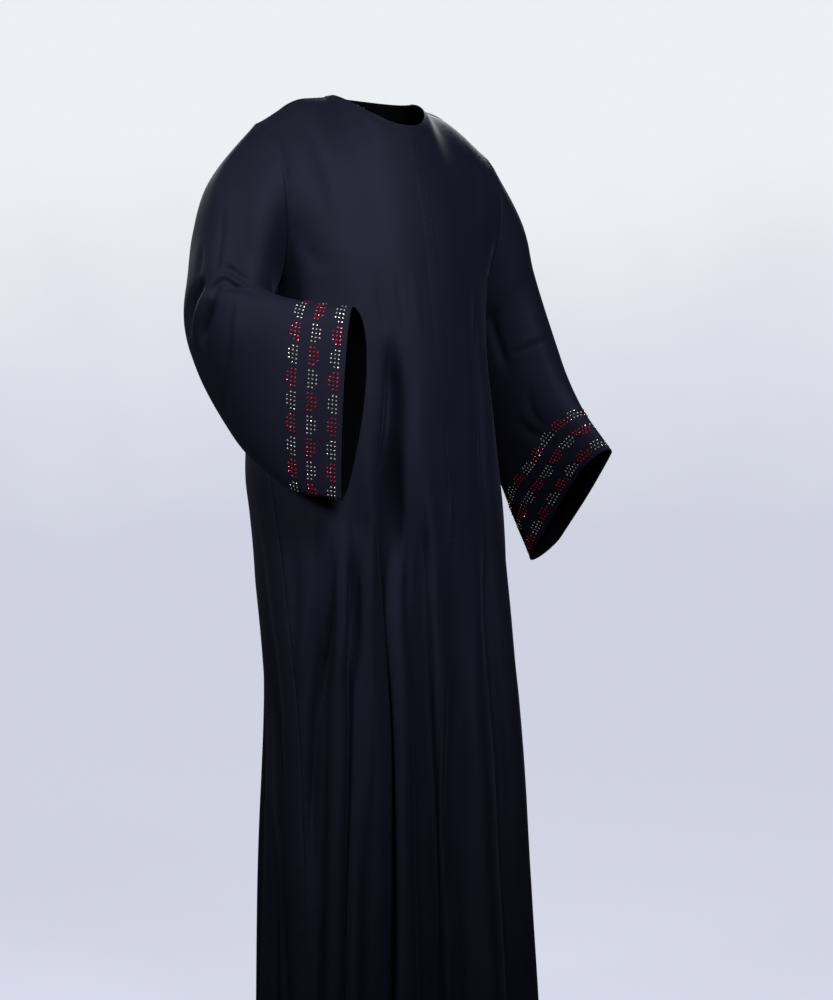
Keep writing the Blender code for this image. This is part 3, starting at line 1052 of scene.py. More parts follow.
@dataclass(frozen=True)
class Finishes:
    """The materials of the piece, each made once."""

    crepe: bpy.types.Material
    # duller crepe of the inner faces, its colour darkened as painted shade
    dull_inside_painted_shade: bpy.types.Material
    thread: bpy.types.Material
    stones: dict[StoneColour, bpy.types.Material]

    @staticmethod
    def made() -> "Finishes":
        """Makes all the finishes of the abaya.

        Returns:
            The finishes.
        """
        # low is the girdle's tone and high the table's; the table's lighter tone is partly a painted highlight
        crystal = StoneFinish("crystal_stone", (0.1, 0.095, 0.09), (0.6, 0.56, 0.5))
        red = StoneFinish("red_stone", (0.06, 0.0005, 0.004), (0.38, 0.01, 0.038))
        stones = {StoneColour.CRYSTAL: crystal.build(), StoneColour.RED: red.build()}
        # The inner face: duller than the crepe, and its colour darkened to about a third as painted shade for the
        # insides of cuffs and neck.
        dark, light = (0.001, 0.001, 0.0016), (0.0019, 0.0019, 0.003)
        dull = CrepeFinish("crepe_dull_inside_painted_shade", dark, light, sheen=0.002, gloss=0.02)
        return Finishes(CrepeFinish().build(), dull.build(), ThreadFinish().build(), stones)


def placed(mesh: bpy.types.Mesh, material: bpy.types.Material, slot: str) -> bpy.types.Object:
    """A piece at the origin that rides on the part's body.

    Args:
        mesh: Its mesh, which gives its name.
        material: Its finish.
        slot: The record's slot of that finish.

    Returns:
        The object.
    """
    mesh.materials.append(material)
    made = bpy.data.objects.new(mesh.name, mesh)
    bpy.context.scene.collection.objects.link(made)
    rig.ride(made, "root")
    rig.slot(made, slot)
    return made


@dataclass(frozen=True)
class Cut:
    """The flat cut of a piece of cloth."""

    width: float
    length: float
    area: float


@dataclass
class ClothPiece:
    """One cut piece: its patch, how it is declared, and its creases."""

    node: str
    patch: Patch
    cut: Cut
    hangs_from: tuple[str, ...]
    creases: tuple[Crease, ...]
    sway: Sway
    thickness: float = 1.2 * MM

    @property
    def name(self) -> str:
        """The name of the piece in the scene."""
        return "crepe_" + self.node

    def laid(self) -> list[LaidCrease]:
        """The creases of this piece as lines in space."""
        return [crease.laid(self.patch) for crease in self.creases]

    def shape(self, sewing: Array, lines: Sequence[LaidCrease]) -> None:
        """Pushes the patch out by its sway and the creases, and then by its sewing.

        Args:
            sewing: The push of its seams and hems.
            lines: The creases of this piece and of those beside it.
        """
        normals = self.patch.normals()
        push = self.sway.lift(self.patch) + sum(line.lift(self.patch, normals) for line in lines)
        self.patch = self.patch.pushed(push).pushed(sewing)

    def dress(self, finishes: Finishes) -> bpy.types.Object:
        """Makes the shell of cloth that stands for its solid. Its inner face is the crepe's duller wrong side, its
        colour darkened as painted shade for the dark insides of the openings.

        Args:
            finishes: The finishes.

        Returns:
            The object.
        """
        made = placed(self.patch.mesh(self.name), finishes.crepe, "crepe")
        # the inner face takes the second slot: duller crepe, darkened as painted shade
        made.data.materials.append(finishes.dull_inside_painted_shade)
        wall = made.modifiers.new("cloth thickness", "SOLIDIFY")
        wall.thickness = self.thickness
        wall.offset = -1.0
        wall.use_even_offset = False
        wall.material_offset = 1
        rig.replaces(made, self.node)
        LOG.info("%s: %d points", self.name, len(made.data.vertices))
        return made

    def declare(self, made: bpy.types.Object, on_it: list[bpy.types.Object]) -> None:
        flat, area = (self.cut.width, self.cut.length), self.cut.area
        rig.sheet(made, flat=flat, held="hung", rests_on=self.hangs_from, area=area, with_pieces=on_it)


SEAM_FINE = (0.03, 0.07, 0.11, 0.16, 0.22, 0.3, 0.42, 0.6)  # columns from a seam, of about 14 mm
LAP_FINE = (0.05, 0.6, 0.8, 0.9, 1.0, 1.1, 1.25)  # columns from the lapped edge
HEM_FINE = (0.012, 0.03, 0.2, 0.31, 0.345, 0.365, 0.385, 0.405, 0.43)  # rows from the hem, of about 54 mm
TOP_FINE = (0.03, 0.07, 0.12, 0.18, 0.26, 0.36, 0.5)  # rows from the neck and shoulder seams


@dataclass
class BodyPanels:
    """The two fronts, with their lapped closure, and the back."""

    form: BodyForm = BodyForm()
    rows: int = 270
    front_columns: int = 96
    back_columns: int = 150
    lap: float = 0.3  # columns by which the left front passes over the right
    strip: float = 12.5  # millimetres from the lapped edge to its stitches
    strip_rise: float = 0.7
    strip_dip: float = 0.3
    strip_dip_width: float = 1.5
    strip_slope: float = 5.0
    shoulder_pucker: float = 0.4
    true_rows: float = 1.6  # rows under the top that are led to the neckline's and shoulders' own lines
    hem: Hem = Hem(20.0)
    neck_hem: Hem = Hem(6.0, 0.3, 0.35, 1.0)
    seam: Seam = Seam()
    pieces: dict[str, ClothPiece] = field(default_factory=dict)

    def fine(self, front: bool, columns: Array, rows: Array) -> Array:
        """The fine grid of a whole front or back, with the neckline and shoulders on their own true lines.

        Args:
            front: Whether it is the front.
            columns: Places across, in the part's columns from the wearer's left side seam.
            rows: Places up, in the part's rows.

        Returns:
            The points.
        """
        coarse = self.form.panel(front)
        row_weights = spline_weights(rows, coarse.shape[0])
        column_weights = spline_weights(columns, coarse.shape[1])
        grid = np.einsum("ir,rck,jc->ijk", row_weights, coarse, column_weights)
        share = np.abs(columns - PANEL_COLUMNS) / PANEL_COLUMNS
        left = self.form.top_edge(share, front, 1)
        right = self.form.top_edge(share, front, -1)
        top = np.where((columns < PANEL_COLUMNS)[:, None], left, right)
        near_top = smooth(rows, rows[-1] - self.true_rows, rows[-1])[:, None, None]
        return grid + (top - grid[-1]) * near_top

    def build(self) -> None:
        """Works out the three patches and shapes them."""
        last_row, half = SKIRT_ROWS + YOKE_ROWS, PANEL_COLUMNS
        rows = spaced(0.0, last_row, self.rows, HEM_FINE, TOP_FINE)
        corner = [self.form.neck_share * half]
        right = np.union1d(spaced(0.0, half, self.front_columns, SEAM_FINE, SEAM_FINE), corner)
        left = np.union1d(spaced(-self.lap, half, self.front_columns, LAP_FINE, SEAM_FINE), corner)
        whole = spaced(0.0, 2 * half, self.back_columns, SEAM_FINE, SEAM_FINE)
        up = rows / last_row
        patches = {
            "front_right": Patch(self.fine(True, half + right, rows), right / half, up, flip=True),
            "front_left": Patch(self.fine(True, half - left, rows), left / half, up),
            "back": Patch(self.fine(False, whole, rows), whole / (2 * half), up),
        }
        self.pieces = {name: ClothPiece(name, patch, *PANEL_CLOTH[name]) for name, patch in patches.items()}
        lines = [line for piece in self.pieces.values() for line in piece.laid()]
        for name, piece in self.pieces.items():
            piece.shape(self.sewing(name, piece.patch), lines)

    def sewing(self, name: str, patch: Patch) -> Array:
        """The push of a panel's seams, hem, neck hem and closure.

        Args:
            name: The panel.
            patch: Its patch before its sewing.

        Returns:
            The push at each point.
        """
        push = self.hem.lift(patch, Edge.FIRST_ROW) + self.seam.lift(patch, Edge.LAST_COLUMN)
        if name == "back":
            push = push + self.seam.lift(patch, Edge.FIRST_COLUMN)
        at_neck = (self.from_middle(name, patch) < self.form.neck_share)[None, :]
        neck = self.neck_hem.lift(patch, Edge.LAST_ROW)
        shoulder = self.seam.lift(patch, Edge.LAST_ROW, self.shoulder_pucker)
        push = push + np.where(at_neck, neck, shoulder)
        if name == "front_left":
            far = patch.from_edge(Edge.FIRST_COLUMN) / MM
            strip = self.strip_rise * (1.0 - smooth(far, self.strip, self.strip + self.strip_slope))
            push = push + (strip - self.strip_dip * bell(far - self.strip, self.strip_dip_width)) * MM
        return push

    def from_middle(self, name: str, patch: Patch) -> Array:
        """Each column's share of the way from the middle of the neck to the side."""
        return np.abs(patch.across - 0.5) * 2.0 if name == "back" else np.abs(patch.across)

    def armhole(self, side: int, at: Array) -> Array:
        """The body's edge at an armhole: up the front from the armpit, then down the back.

        Args:
            side: -1 for the wearer's right and +1 for the left.
            at: Places round it, in the sleeve's columns.

        Returns:
            A point for each place.
        """
        edge, last = 0 if side > 0 else -1, SKIRT_ROWS + YOKE_ROWS
        front, back = self.form.panel(True)[:, edge], self.form.panel(False)[:, edge]
        up = spline_weights(np.clip(SKIRT_ROWS + at, 0, last), len(front)) @ front
        down = spline_weights(np.clip(last + YOKE_ROWS - at, 0, last), len(back)) @ back
        return np.where((at <= YOKE_ROWS)[:, None], up, down)


CUFF_FINE = (0.02, 0.05, 0.1, 0.15, 0.18, 0.21, 0.24, 0.3)  # rows from the cuff, of about 27 mm


@dataclass
class Sleeve:
    """A bell sleeve, from its armhole to its cuff."""

    side: int
    sections: tuple[Section, ...]
    cut: Cut
    creases: tuple[Crease, ...]
    sway: Sway
    rows: int = 150
    columns: int = 154
    hem: Hem = Hem(5.0, 0.3, 0.35, 1.0)
    seam: Seam = Seam()
    armhole_pucker: float = 0.5
    true_rows: float = 1.2  # rows under the armhole that are led to its own line
    piece: ClothPiece | None = None

    @property
    def word(self) -> str:
        """The wearer's side in words."""
        return "left" if self.side > 0 else "right"

    def build(self, panels: BodyPanels) -> None:
        """Works out the tube from the body's armhole and shapes it.

        Args:
            panels: The body that the sleeve is sewn to.
        """
        count = 2 * YOKE_ROWS
        coarse = sleeve_grid(self.sections, panels.armhole(self.side, np.arange(count, dtype=float)))
        columns = np.arange(self.columns) * count / self.columns
        rows = spaced(0.0, SLEEVE_ROWS, self.rows, SEAM_FINE[:6], CUFF_FINE)
        weights = spline_weights(rows, SLEEVE_ROWS + 1), spline_weights(columns, count, closed=True)
        grid = np.einsum("ir,rck,jc->ijk", weights[0], coarse, weights[1])
        leftover = panels.armhole(self.side, columns) - grid[0]
        grid += leftover * (1.0 - smooth(rows, 0.0, self.true_rows))[:, None, None]
        patch = Patch(grid, columns / count, rows / SLEEVE_ROWS, closed=True, flip=self.side > 0)
        name = "sleeve_" + self.word
        hangs_from = (f"crepe_front_{self.word}", "crepe_back")
        self.piece = ClothPiece(name, patch, self.cut, hangs_from, self.creases, self.sway)
        sewing = self.seam.lift(patch, Edge.FIRST_ROW, self.armhole_pucker)
        self.piece.shape(sewing + self.hem.lift(patch, Edge.LAST_ROW), self.piece.laid())

def reach(line: Array) -> Array:
    """How far each point of a line lies from its start, along the line."""
    return np.concatenate([[0.0], np.cumsum(np.linalg.norm(np.diff(line, axis=0), axis=1))])


def read_line(at: Array, places: Array, values: Array) -> Array:
    """Vectors at places along a line, read between those at its own places."""
    return np.stack([np.interp(at, places, values[:, k]) for k in range(3)], axis=-1)
def frames(tangents: Array, normals: Array) -> Array:
    """Three unit ways for each place: along, across and out, as the rows of a turn.

    Args:
        tangents: The ways along.
        normals: The ways out.

    Returns:
        An array of 3 by 3 turns.
    """
    out = unit(normals)
    along = unit(tangents - out * (tangents * out).sum(-1, keepdims=True))
    return np.stack([along, np.cross(out, along), out], axis=-2)


def scattered(name: str, points: Array, faces: list[tuple], places: Array, turns: Array) -> bpy.types.Mesh:
    """One mesh of many copies of a small shape: each is the shape's points times its turn, plus its place.

    Args:
        name: The mesh's name.
        points: The small shape's points.
        faces: Its faces.
        places: Where the copies go.
        turns: Their turns.

    Returns:
        The mesh.
    """
    spread = np.einsum("pk,nkd->npd", points, turns) + places[:, None, :]
    offsets = np.arange(len(places)) * len(points)
    corners = [(offsets[:, None] + np.array(face)).tolist() for face in faces]
    mesh = bpy.data.meshes.new(name)
    mesh.from_pydata(spread.reshape(-1, 3).tolist(), [], [f for group in corners for f in group])
    return mesh


def turned_shape(profile: Sequence[tuple[float, float]], sides: int) -> tuple[Array, list[tuple]]:
    """A closed turned shape: rings of a radius and a height, joined by four-cornered faces, with flat ends.

    Args:
        profile: Radius and height of each ring, from the lowest.
        sides: How many sides it has.

    Returns:
        Its points and its faces.
    """
    angle = 2.0 * math.pi * np.arange(sides) / sides
    rings = [np.stack([r * np.cos(angle), r * np.sin(angle), 0 * angle + z], axis=-1) for r, z in profile]
    faces = [
        (k * sides + j, k * sides + (j + 1) % sides, (k + 1) * sides + (j + 1) % sides, (k + 1) * sides + j)
        for k in range(len(profile) - 1)
        for j in range(sides)
    ]
    last = (len(profile) - 1) * sides
    faces.append(tuple(reversed(range(sides))))
    faces.append(tuple(last + j for j in range(sides)))
    return np.concatenate(rings), faces


@dataclass(frozen=True)
class StoneBorder:
    """Three rows of stone blocks round a cuff. A block has two lines of five stones and one of three."""

    seed: int
    phases: tuple[float, float, float]  # share of a block by which each row is turned round the cuff
    rows: tuple[float, ...] = (16.0, 48.0, 80.0)  # millimetres from the cuff's edge
    block_pitch: float = 31.0
    stone_pitch: float = 5.8
    crystal_width: float = 2.6
    red_width: float = 3.4
    tilt: float = 0.08
    facets: int = 8
    step: float = 0.002  # share of the way round at which the next place is read
    profile: tuple = ((0.96, -0.1), (1.0, 0.2), (0.8, 0.46), (0.46, 0.62))  # radius, height in half widths

    def lattice(self, row: int) -> Array:
        """The stones of a block: how far each lies from the block's middle, along the row and from the cuff.

        Args:
            row: The row's number.

        Returns:
            A pair of distances for each stone, in millimetres.
        """
        short = 1.0 if row % 2 == 0 else -1.0
        long_lines = [(k, line) for line in (0.0, -short) for k in range(-2, 3)]
        return np.array(long_lines + [(k, short) for k in (-1, 0, 1)], float) * self.stone_pitch

    def stones(self, patch: Patch) -> dict[StoneColour, tuple[Array, Array]]:
        """The places and turns of all stones, each read from the line at its own distance from the cuff.

        A row's blocks are even shares of the way round, so all its lines keep step. The colour changes from
        block to block and from row to row.

        Args:
            patch: The sleeve.

        Returns:
            Places and turns for each colour.
        """
        rng = np.random.default_rng(self.seed)
        found: dict[StoneColour, list] = {colour: [] for colour in StoneColour}
        for row, distance in enumerate(self.rows):
            round_cuff = reach(patch.line(Edge.LAST_ROW, distance * MM)[0])[-1] / MM
            blocks = 2 * round(round_cuff / self.block_pitch / 2)
            for along, off in self.lattice(row):
                line, normals = patch.line(Edge.LAST_ROW, (distance + off) * MM)
                far = reach(line) / reach(line)[-1]
                share = ((np.arange(blocks) + self.phases[row]) / blocks + along / round_cuff) % 1.0
                tables = (share, line), ((share + self.step) % 1.0, line), (share, normals)
                read = [read_line(at, far, values) for at, values in tables]
                for start, colour in enumerate((StoneColour.CRYSTAL, StoneColour.RED)):
                    chosen = slice((start + row) % 2, None, 2)
                    places, ahead, out = (values[chosen] for values in read)
                    out = unit(unit(out) + rng.normal(0.0, self.tilt, out.shape))
                    found[colour].append((places, frames(ahead - places, out)))
        return {colour: tuple(np.concatenate(parts) for parts in zip(*found[colour])) for colour in found}

    def build(self, word: str, patch: Patch, finishes: Finishes) -> list[bpy.types.Object]:
        """Makes the stones of one cuff, a piece for each colour.

        Args:
            word: The wearer's side in words.
            patch: The sleeve.
            finishes: The finishes.

        Returns:
            The pieces.
        """
        widths = {StoneColour.CRYSTAL: self.crystal_width, StoneColour.RED: self.red_width}
        points, faces = turned_shape(self.profile, self.facets)
        # each ring's height in the stone, 0 at the girdle to 1 at the table, for the painted highlight
        rings = np.repeat(np.linspace(0.0, 1.0, len(self.profile)), self.facets)
        made = []
        for colour, (places, turns) in self.stones(patch).items():
            rng = np.random.default_rng(self.seed + len(colour.value))
            half = widths[colour] * MM / 2
            mesh = scattered(f"stones_{colour.value}_{word}", points * half, faces, places, turns)
            # half a drawn tone for each stone, half a painted highlight that lightens the facets towards the table
            tones = (0.5 * rng.uniform(0.0, 1.0, len(places))[:, None] + 0.5 * rings).ravel()
            mesh.attributes.new("stone_tone", "FLOAT", "POINT").data.foreach_set("value", tones)
            made.append(placed(mesh, finishes.stones[colour], colour.value + "_stone"))
            LOG.info("%s: %d stones", mesh.name, len(places))
        return made


@dataclass(frozen=True)
class Stitching:
    """Runs of sewing stitches that lie half sunk in the cloth."""

    pitch: float = 3.2  # millimetres
    length: float = 2.4
    thickness: float = 0.34
    profile: tuple = ((0.45, -1.0), (0.9, -0.72), (1.0, 0.0), (0.9, 0.72), (0.45, 1.0))  # radius, place

    def run(self, line: Array, normals: Array) -> tuple[Array, Array]:
        """Even places along a line, with each stitch's turn.

        Args:
            line: The line's points.
            normals: Its normals.

        Returns:
            The stitches' places and turns.
        """
        far = reach(line)
        at = np.arange(self.pitch / 2, far[-1] / MM, self.pitch) * MM
        step = self.pitch * MM / 4
        behind, ahead = read_line(at - step, far, line), read_line(at + step, far, line)
        return (behind + ahead) / 2, frames(ahead - behind, read_line(at, far, normals))

    def build(self, name: str, runs: list[tuple], finish: bpy.types.Material) -> bpy.types.Object:
        """Makes all the stitches of some runs as one piece.

        A stitch is a turned shape whose radius swells and closes along its length.

        Args:
            name: The piece's name.
            runs: Places and turns.
            finish: The thread.

        Returns:
            The piece.
        """
        half, radius = self.length * MM / 2, self.thickness * MM / 2
        points, faces = turned_shape([(radius * r, half * z) for r, z in self.profile], 6)
        places, turns = (np.concatenate(parts) for parts in zip(*runs))
        mesh = scattered(name, points[:, [2, 0, 1]], faces, places, turns)
        mesh.shade_smooth()
        LOG.info("%s: %d stitches", name, len(places))
        return placed(mesh, finish, "thread")


@dataclass(frozen=True)
class Sewing:
    """Where the stitches run: the closure, the hem, the neck and the cuffs."""

    stitching: Stitching = Stitching()
    tack_z: float = -0.66  # where the closure's bar of close stitches is
    tack_width: float = 5.0
    tack_rise: float = 0.4
    tack_stitches: int = 11

    def closure(self, panels: BodyPanels) -> list[tuple[Array, Array]]:
        """The line beside the lapped edge, and the bar of stitches laid side by side across the strip.

        Args:
            panels: The fronts and the back.

        Returns:
            The two runs of stitches.
        """
        line, normals = panels.pieces["front_left"].patch.line(Edge.FIRST_COLUMN, panels.strip * MM)
        k = int(np.abs(line[:, 2] - self.tack_z).argmin())
        along = unit(line[k + 1] - line[k - 1])
        offsets = (np.linspace(-0.5, 0.5, self.tack_stitches)[:, None] - 0.5) * self.tack_width * MM
        places = line[k] + np.cross(normals[k], along) * offsets + normals[k] * self.tack_rise * MM
        bar = places, np.repeat(frames(along, normals[k])[None], len(places), axis=0)
        return [self.stitching.run(line, normals), bar]

    def build(self, panels: BodyPanels, sleeves: list[Sleeve], finish: bpy.types.Material) -> dict[str, list]:
        """Makes every run of stitches.

        Args:
            panels: The fronts and the back.
            sleeves: The two sleeves.
            finish: The thread.

        Returns:
            The stitch pieces that lie on each cloth piece.
        """
        run, make = self.stitching.run, self.stitching.build
        pieces = {}
        for name, piece in panels.pieces.items():
            hem = run(*piece.patch.line(Edge.FIRST_ROW, panels.hem.band * MM))
            line, normals = piece.patch.line(Edge.LAST_ROW, panels.neck_hem.band * MM)
            kept = panels.from_middle(name, piece.patch) < panels.form.neck_share - 0.01
            neck = run(line[kept], normals[kept])
            words = ("hem", hem), ("neck", neck)
            pieces[name] = [make(f"stitches_{word}_{name}", [stitches], finish) for word, stitches in words]
        pieces["front_left"].append(make("stitches_closure", self.closure(panels), finish))
        for sleeve in sleeves:
            line = sleeve.piece.patch.line(Edge.LAST_ROW, sleeve.hem.band * MM)
            pieces[sleeve.piece.node] = [make(f"stitches_cuff_{sleeve.word}", [run(*line)], finish)]
        return pieces


FRONT_RIGHT_CREASES = creases(
    (-17, 9, 0.25, 282, 612, 283, 560, 285, 516, 295, 460, 310, 410),
    (-32, 13, 0.2, 283, 530, 305, 465, 335, 387, 350, 313, 350, 229, 365, 145, 392, 0),
    (4.5, 12, 0.2, 215, 560, 215, 465, 240, 377, 220, 294, 205, 140, 195, 0),
    (6, 13, 0.3, 405, 450, 410, 381, 440, 294, 500, 210, 520, 120),
    (-16, 9.5, 0.2, 495, 430, 515, 361, 570, 294, 600, 219, 650, 129, 680, 0),
    (6, 13, 0.2, 555, 490, 575, 377, 605, 339, 675, 294, 735, 210, 820, 0),
    (-15, 10, 0.25, 620, 440, 690, 361, 780, 315, 860, 271, 920, 210, 965, 110),
    (4.5, 12, 0.3, 670, 490, 760, 413, 795, 377, 910, 329, 980, 294),
    (-4.5, 11, 0.4, 880, 440, 925, 377, 990, 345),
    (-17, 12, 0.25, 165, 520, 120, 400, 95, 320, 70, 252, 30, 168, 12, 90, 5, 0),
    (-1.8, 6, 0.4, 430, 425, 372, 377, 342, 335, 310, 300),
    (-6, 12, 0.4, 860, 130, 880, 0),
    (3.5, 12, 0.5, 585, 200, 590, 100, 600, 0),
    (-1.6, 6, 0.4, 345, 690, 325, 640, 300, 600),
    (-1.3, 5, 0.4, 230, 690, 200, 600),
    (0.9, 6, 0.4, 120, 690, 115, 590),
    (-2.6, 15, 0.4, 780, 960, 640, 820, 480, 700),
    (-3.2, 12, 0.4, 940, 790, 820, 720, 640, 670),
    (2, 17, 0.4, 500, 930, 440, 820, 360, 740),
)
FRONT_LEFT_CREASES = creases(
    (5, 17, 0.2, 235, 450, 230, 377, 195, 290, 225, 206, 255, 110, 265, 0),
    (-6.5, 9, 0.3, 425, 690, 395, 606, 385, 560, 340, 500, 345, 420),
    (-8.5, 11, 0.2, 345, 470, 385, 358, 415, 297, 465, 200, 500, 0),
    (2.5, 15, 0.4, 310, 660, 230, 552, 210, 440),
    (5, 15, 0.3, 600, 440, 650, 270, 690, 0),
    (-6, 13, 0.3, 780, 480, 800, 320, 840, 0),
    (2.2, 13, 0.4, 560, 640, 520, 560, 500, 480),
    (-8, 14, 0.4, 70, 330, 60, 230, 55, 120, 60, 0),
    (1.6, 5, 0.4, 60, 480, 35, 452, 30, 420),
    (-2.4, 15, 0.4, 800, 950, 660, 830, 520, 720),
    (-3.4, 12, 0.4, 950, 770, 840, 700, 700, 660),
    (1.8, 16, 0.4, 470, 900, 400, 800, 330, 690),
)
BACK_CREASES = creases(
    (4.5, 8, 0.3, 845, 330, 875, 203, 900, 145, 935, 0),
    (-6, 9, 0.3, 862, 320, 905, 180, 955, 0),
    (-3.5, 14, 0.4, 300, 760, 400, 720, 520, 735, 620, 715),
    (-6, 13, 0.4, 130, 640, 190, 560, 215, 440),
    (-6, 12, 0.4, 870, 650, 800, 570, 770, 470),
    (7, 13, 0.3, 420, 560, 400, 400, 410, 220, 415, 0),
    (-10, 11, 0.3, 570, 520, 590, 360, 580, 180, 590, 0),
    (-9, 10, 0.35, 300, 480, 290, 300, 305, 0),
    (7, 12, 0.3, 190, 420, 180, 250, 185, 0),
    (7, 13, 0.3, 690, 430, 700, 250, 690, 0),
    (4.2, 11, 0.4, 480, 460, 500, 280, 495, 0),
    (-10, 11, 0.3, 790, 400, 800, 230, 790, 0),
    (-8, 11, 0.35, 90, 350, 100, 180, 95, 0),
)
RIGHT_SLEEVE_CREASES = creases(
    (-13, 8.5, 0.35, 460, 455, 482, 467, 527, 478, 564, 494, 610, 520),
    (-12, 7.5, 0.35, 425, 532, 477, 550, 514, 556, 560, 565),
    (4, 7.5, 0.35, 430, 496, 482, 512, 536, 524, 590, 540),
    (-5, 5, 0.25, 309, 711, 318, 606, 364, 533, 391, 500, 427, 506, 464, 511),
    (-4, 4.5, 0.3, 345, 589, 377, 539, 423, 522, 455, 533),
    (-6, 6, 0.3, 395, 428, 359, 467, 318, 528, 300, 650),
    (3, 5.5, 0.3, 385, 465, 345, 505, 315, 570, 305, 680),
    (-2.2, 5, 0.35, 432, 180, 423, 344, 414, 422, 395, 478),
    (-2.6, 7, 0.4, 505, 330, 495, 400, 482, 450),
    (-2.6, 5, 0.3, 370, 590, 423, 617, 486, 639, 582, 650, 660, 655),
    (1.8, 7, 0.35, 390, 640, 450, 662, 560, 678, 640, 682),
    (-3.6, 10, 0.4, 620, 460, 700, 560, 740, 700),
    (2.4, 11, 0.4, 640, 200, 660, 380),
    (-3.6, 8, 0.4, 840, 440, 800, 500, 770, 620),
    (-1.2, 3, 0.02, 990, 0, 930, 300, 830, 650, 750, 1000),
    (-3.2, 7, 0.4, 700, 420, 780, 520, 860, 560),
)
LEFT_SLEEVE_CREASES = creases(
    (-1.7, 3.2, 0.25, 105, 484, 141, 494, 191, 506, 255, 517, 295, 528),
    (1, 6, 0.4, 120, 468, 190, 484, 270, 502),
    (-5, 9, 0.3, 95, 180, 82, 367, 82, 450, 86, 540),
    (-2.6, 7.5, 0.4, 135, 570, 77, 706, 82, 800),
    (2.6, 14, 0.4, 235, 380, 223, 567, 177, 728),
    (-3.4, 10, 0.4, 32, 640, 36, 760, 60, 860),
    (-4, 11, 0.4, 620, 380, 700, 480, 720, 620),
    (-2.8, 11, 0.4, 430, 300, 400, 460, 420, 640),
    (-3.4, 7, 0.4, 560, 440, 640, 520, 760, 540),
    (2.6, 10, 0.4, 800, 420, 830, 560),
    (-1.2, 3, 0.02, 990, 0, 930, 300, 830, 650, 750, 1000),
)
PANEL_CLOTH = {
    "front_right": (Cut(0.36, 1.39, 0.385), ("crepe_back",), FRONT_RIGHT_CREASES, Sway(3)),
    "front_left": (Cut(0.37, 1.39, 0.392), ("crepe_back",), FRONT_LEFT_CREASES, Sway(5)),
    "back": (Cut(0.7, 1.41, 0.86), ("crepe_front_right", "crepe_front_left"), BACK_CREASES, Sway(8)),
}


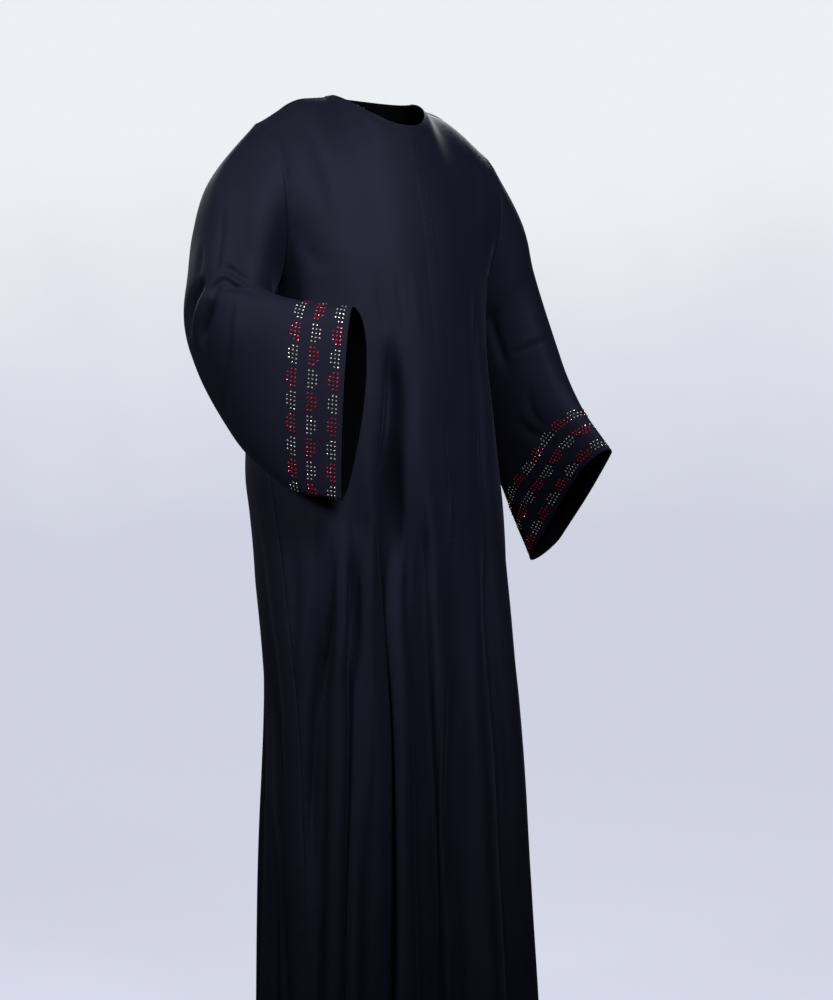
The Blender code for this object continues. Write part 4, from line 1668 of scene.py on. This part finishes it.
@dataclass(frozen=True)
class Studio:
    """The photograph's view, a pale floor that sweeps up all round, and soft lights."""

    forward: Point = (0.6, 0.8, 0.0)
    right: Point = (0.8, -0.6, 0.0)
    eye_height: float = -0.605
    eye_right: float = 0.064
    eye_back: float = 3.6
    focal_length: float = 2400.0  # in pixels of a picture 1000 high
    floor_z: float = -1.4
    floor_radius: float = 6.5  # where the floor turns up into the wall, all round
    sweep_radius: float = 1.5
    wall_height: float = 6.0
    light_spread: float = 60.0  # degrees
    aim_z: float = -0.45
    painted_light_top_z: float = 1.4  # where the wall's painted light is at its brightest

    def spot(self, ahead: float, beside: float, z: float) -> Array:
        """A place by how far it lies ahead of the garment's axis and to its right, as the camera sees it."""
        return ahead * np.array(self.forward) + beside * np.array(self.right) + np.array([0.0, 0.0, z])

    def camera(self) -> None:
        """The level camera: the sensor's long side holds the picture's 1000 rows."""
        data = bpy.data.cameras.new("camera")
        data.sensor_width = 36.0
        data.lens = self.focal_length / 1000.0 * data.sensor_width
        data.clip_end = 50.0
        made = bpy.data.objects.new("camera", data)
        made.location = self.spot(-self.eye_back, self.eye_right, self.eye_height)
        made.rotation_euler = (math.pi / 2, 0.0, -math.atan2(self.forward[0], self.forward[1]))
        bpy.context.scene.collection.objects.link(made)
        bpy.context.scene.camera = made

    def backdrop_painted_light_finish(self) -> bpy.types.Material:
        """Pale lavender cloth that glows with painted light, brighter towards the top, with faint broad clouds in its
        glow.

        Returns:
            The material.
        """
        paint = Paint("pale_backdrop_painted_light")
        space = paint.node("TexCoord", "Object")
        z = paint.node("SeparateXYZ", "Z", Vector=space)
        height = paint.node("MapRange", "Result", Value=z, From_Min=self.floor_z, From_Max=self.painted_light_top_z)
        both = paint.sum(paint.noise(space, 1.1, 3.0), 0.3, height)
        # painted light: the glow's colour rises from the floor's tone to the bright top of the wall
        tones = paint.tones(both, (0.4, 1.0), (0.695, 0.712, 0.835), (0.935, 0.96, 1.0))
        paint.set(Emission_Color=tones, Emission_Strength=0.9, Base_Color=(0.07, 0.07, 0.083, 1.0))
        paint.set(Roughness=0.9, Specular_IOR_Level=0.1)
        return paint.material

    def backdrop(self) -> None:
        """The floor and the wall as one sweep all round: a flat run, a quarter round and an upright run."""
        turn = np.linspace(0.0, math.pi / 2, 24)
        out = np.concatenate([[0.01], self.floor_radius + self.sweep_radius * np.sin(turn)])
        out = np.append(out, out[-1])
        rise = self.sweep_radius * (1.0 - np.cos(turn))
        z = np.concatenate([[0.0], rise, [self.wall_height]]) + self.floor_z
        around = np.linspace(0.0, 2.0 * math.pi, 96, endpoint=False)
        flat = np.stack([np.cos(around), np.sin(around), 0.0 * around], axis=-1)
        points = out[:, None, None] * flat + z[:, None, None] * np.array([0.0, 0.0, 1.0])
        mesh = Patch(points, around, out, closed=True).mesh("backdrop")
        mesh.materials.append(self.backdrop_painted_light_finish())
        made = bpy.data.objects.new("backdrop", mesh)
        made.visible_glossy = False
        made.visible_diffuse = False
        bpy.context.scene.collection.objects.link(made)
        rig.stage(made)

    def light(self, name: str, place: Array, size: tuple[float, float], power: float, colour: Colour) -> None:
        """A soft rectangle of light that faces the garment between its chest and its knees.

        Args:
            name: Its name.
            place: Where it stands.
            size: Its width and height.
            power: Its watts.
            colour: Its colour.
        """
        data = bpy.data.lights.new(name, "AREA")
        data.shape = "RECTANGLE"
        data.size, data.size_y = size
        data.energy = power
        data.color = colour
        data.spread = math.radians(self.light_spread)
        made = bpy.data.objects.new(name, data)
        way = np.array([0.0, 0.0, self.aim_z]) - place
        flat = math.hypot(way[0], way[1])
        made.rotation_euler = (math.pi / 2 + math.atan2(way[2], flat), 0.0, math.atan2(-way[0], way[1]))
        made.location = place
        bpy.context.scene.collection.objects.link(made)

    def lights(self) -> None:
        """A key from the camera's left, a fill in front, two weak ones behind, one above, faint surround."""
        self.light("key", self.spot(-1.45, -1.75, 0.55), (0.6, 0.6), 6.3, (0.97, 0.97, 1.0))
        self.light("fill", self.spot(-1.85, 0.8, 0.95), (0.6, 0.6), 10.5, (0.93, 0.95, 1.0))
        self.light("behind_right", self.spot(1.8, -1.3, 0.8), (0.9, 0.9), 3.0, (0.95, 0.97, 1.0))
        self.light("behind_left", self.spot(2.0, 0.5, 0.9), (0.6, 0.6), 4.5, (0.95, 0.97, 1.0))
        self.light("top", self.spot(-0.4, 0.0, 2.3), (2.0, 1.4), 1.2, (1.0, 1.0, 1.0))
        world = bpy.data.worlds.new("surround")
        world.use_nodes = True
        shade = world.node_tree.nodes["Background"]
        shade.inputs["Color"].default_value = (0.8, 0.84, 0.95, 1.0)
        shade.inputs["Strength"].default_value = 0.02
        bpy.context.scene.world = world

    def build(self) -> None:
        """Sets up the view, the backdrop and the lights."""
        self.camera()
        self.backdrop()
        self.lights()
        bpy.context.scene.view_settings.view_transform = "Standard"
        LOG.info("studio: camera, backdrop and lights")


def write_sizes() -> None:
    """Writes the CAD box and the dressed model's box, to be compared."""
    boxes = {"cad": CAD_BOX, "visual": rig.bounds()}
    plain = {name: [[float(v) for v in corner] for corner in box] for name, box in boxes.items()}
    Path("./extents.json").write_text(json.dumps(plain, indent=1))


def main() -> None:
    """Builds the studio, the cloth, the sewing and the stones, in that order."""
    logging.basicConfig(level=logging.INFO, format="%(name)s: %(message)s")
    Studio().build()
    finishes = Finishes.made()
    panels = BodyPanels()
    panels.build()
    sleeves = [
        Sleeve(-1, RIGHT_SECTIONS, Cut(0.6, 0.44, 0.215), RIGHT_SLEEVE_CREASES, Sway(11)),
        Sleeve(1, LEFT_SECTIONS, Cut(0.58, 0.44, 0.21), LEFT_SLEEVE_CREASES, Sway(13)),
    ]
    borders = {-1: StoneBorder(21, (-0.72, -0.69, -0.6)), 1: StoneBorder(34, (-0.2, 0.2, 0.9))}
    for sleeve in sleeves:
        sleeve.build(panels)
    cloth = [*panels.pieces.values(), *(sleeve.piece for sleeve in sleeves)]
    made = {piece.node: piece.dress(finishes) for piece in cloth}
    on_it = Sewing().build(panels, sleeves, finishes.thread)
    for sleeve in sleeves:
        on_it[sleeve.piece.node] += borders[sleeve.side].build(sleeve.word, sleeve.piece.patch, finishes)
    for piece in cloth:
        piece.declare(made[piece.node], on_it[piece.node])
    write_sizes()


if __name__ == "__main__":
    main()
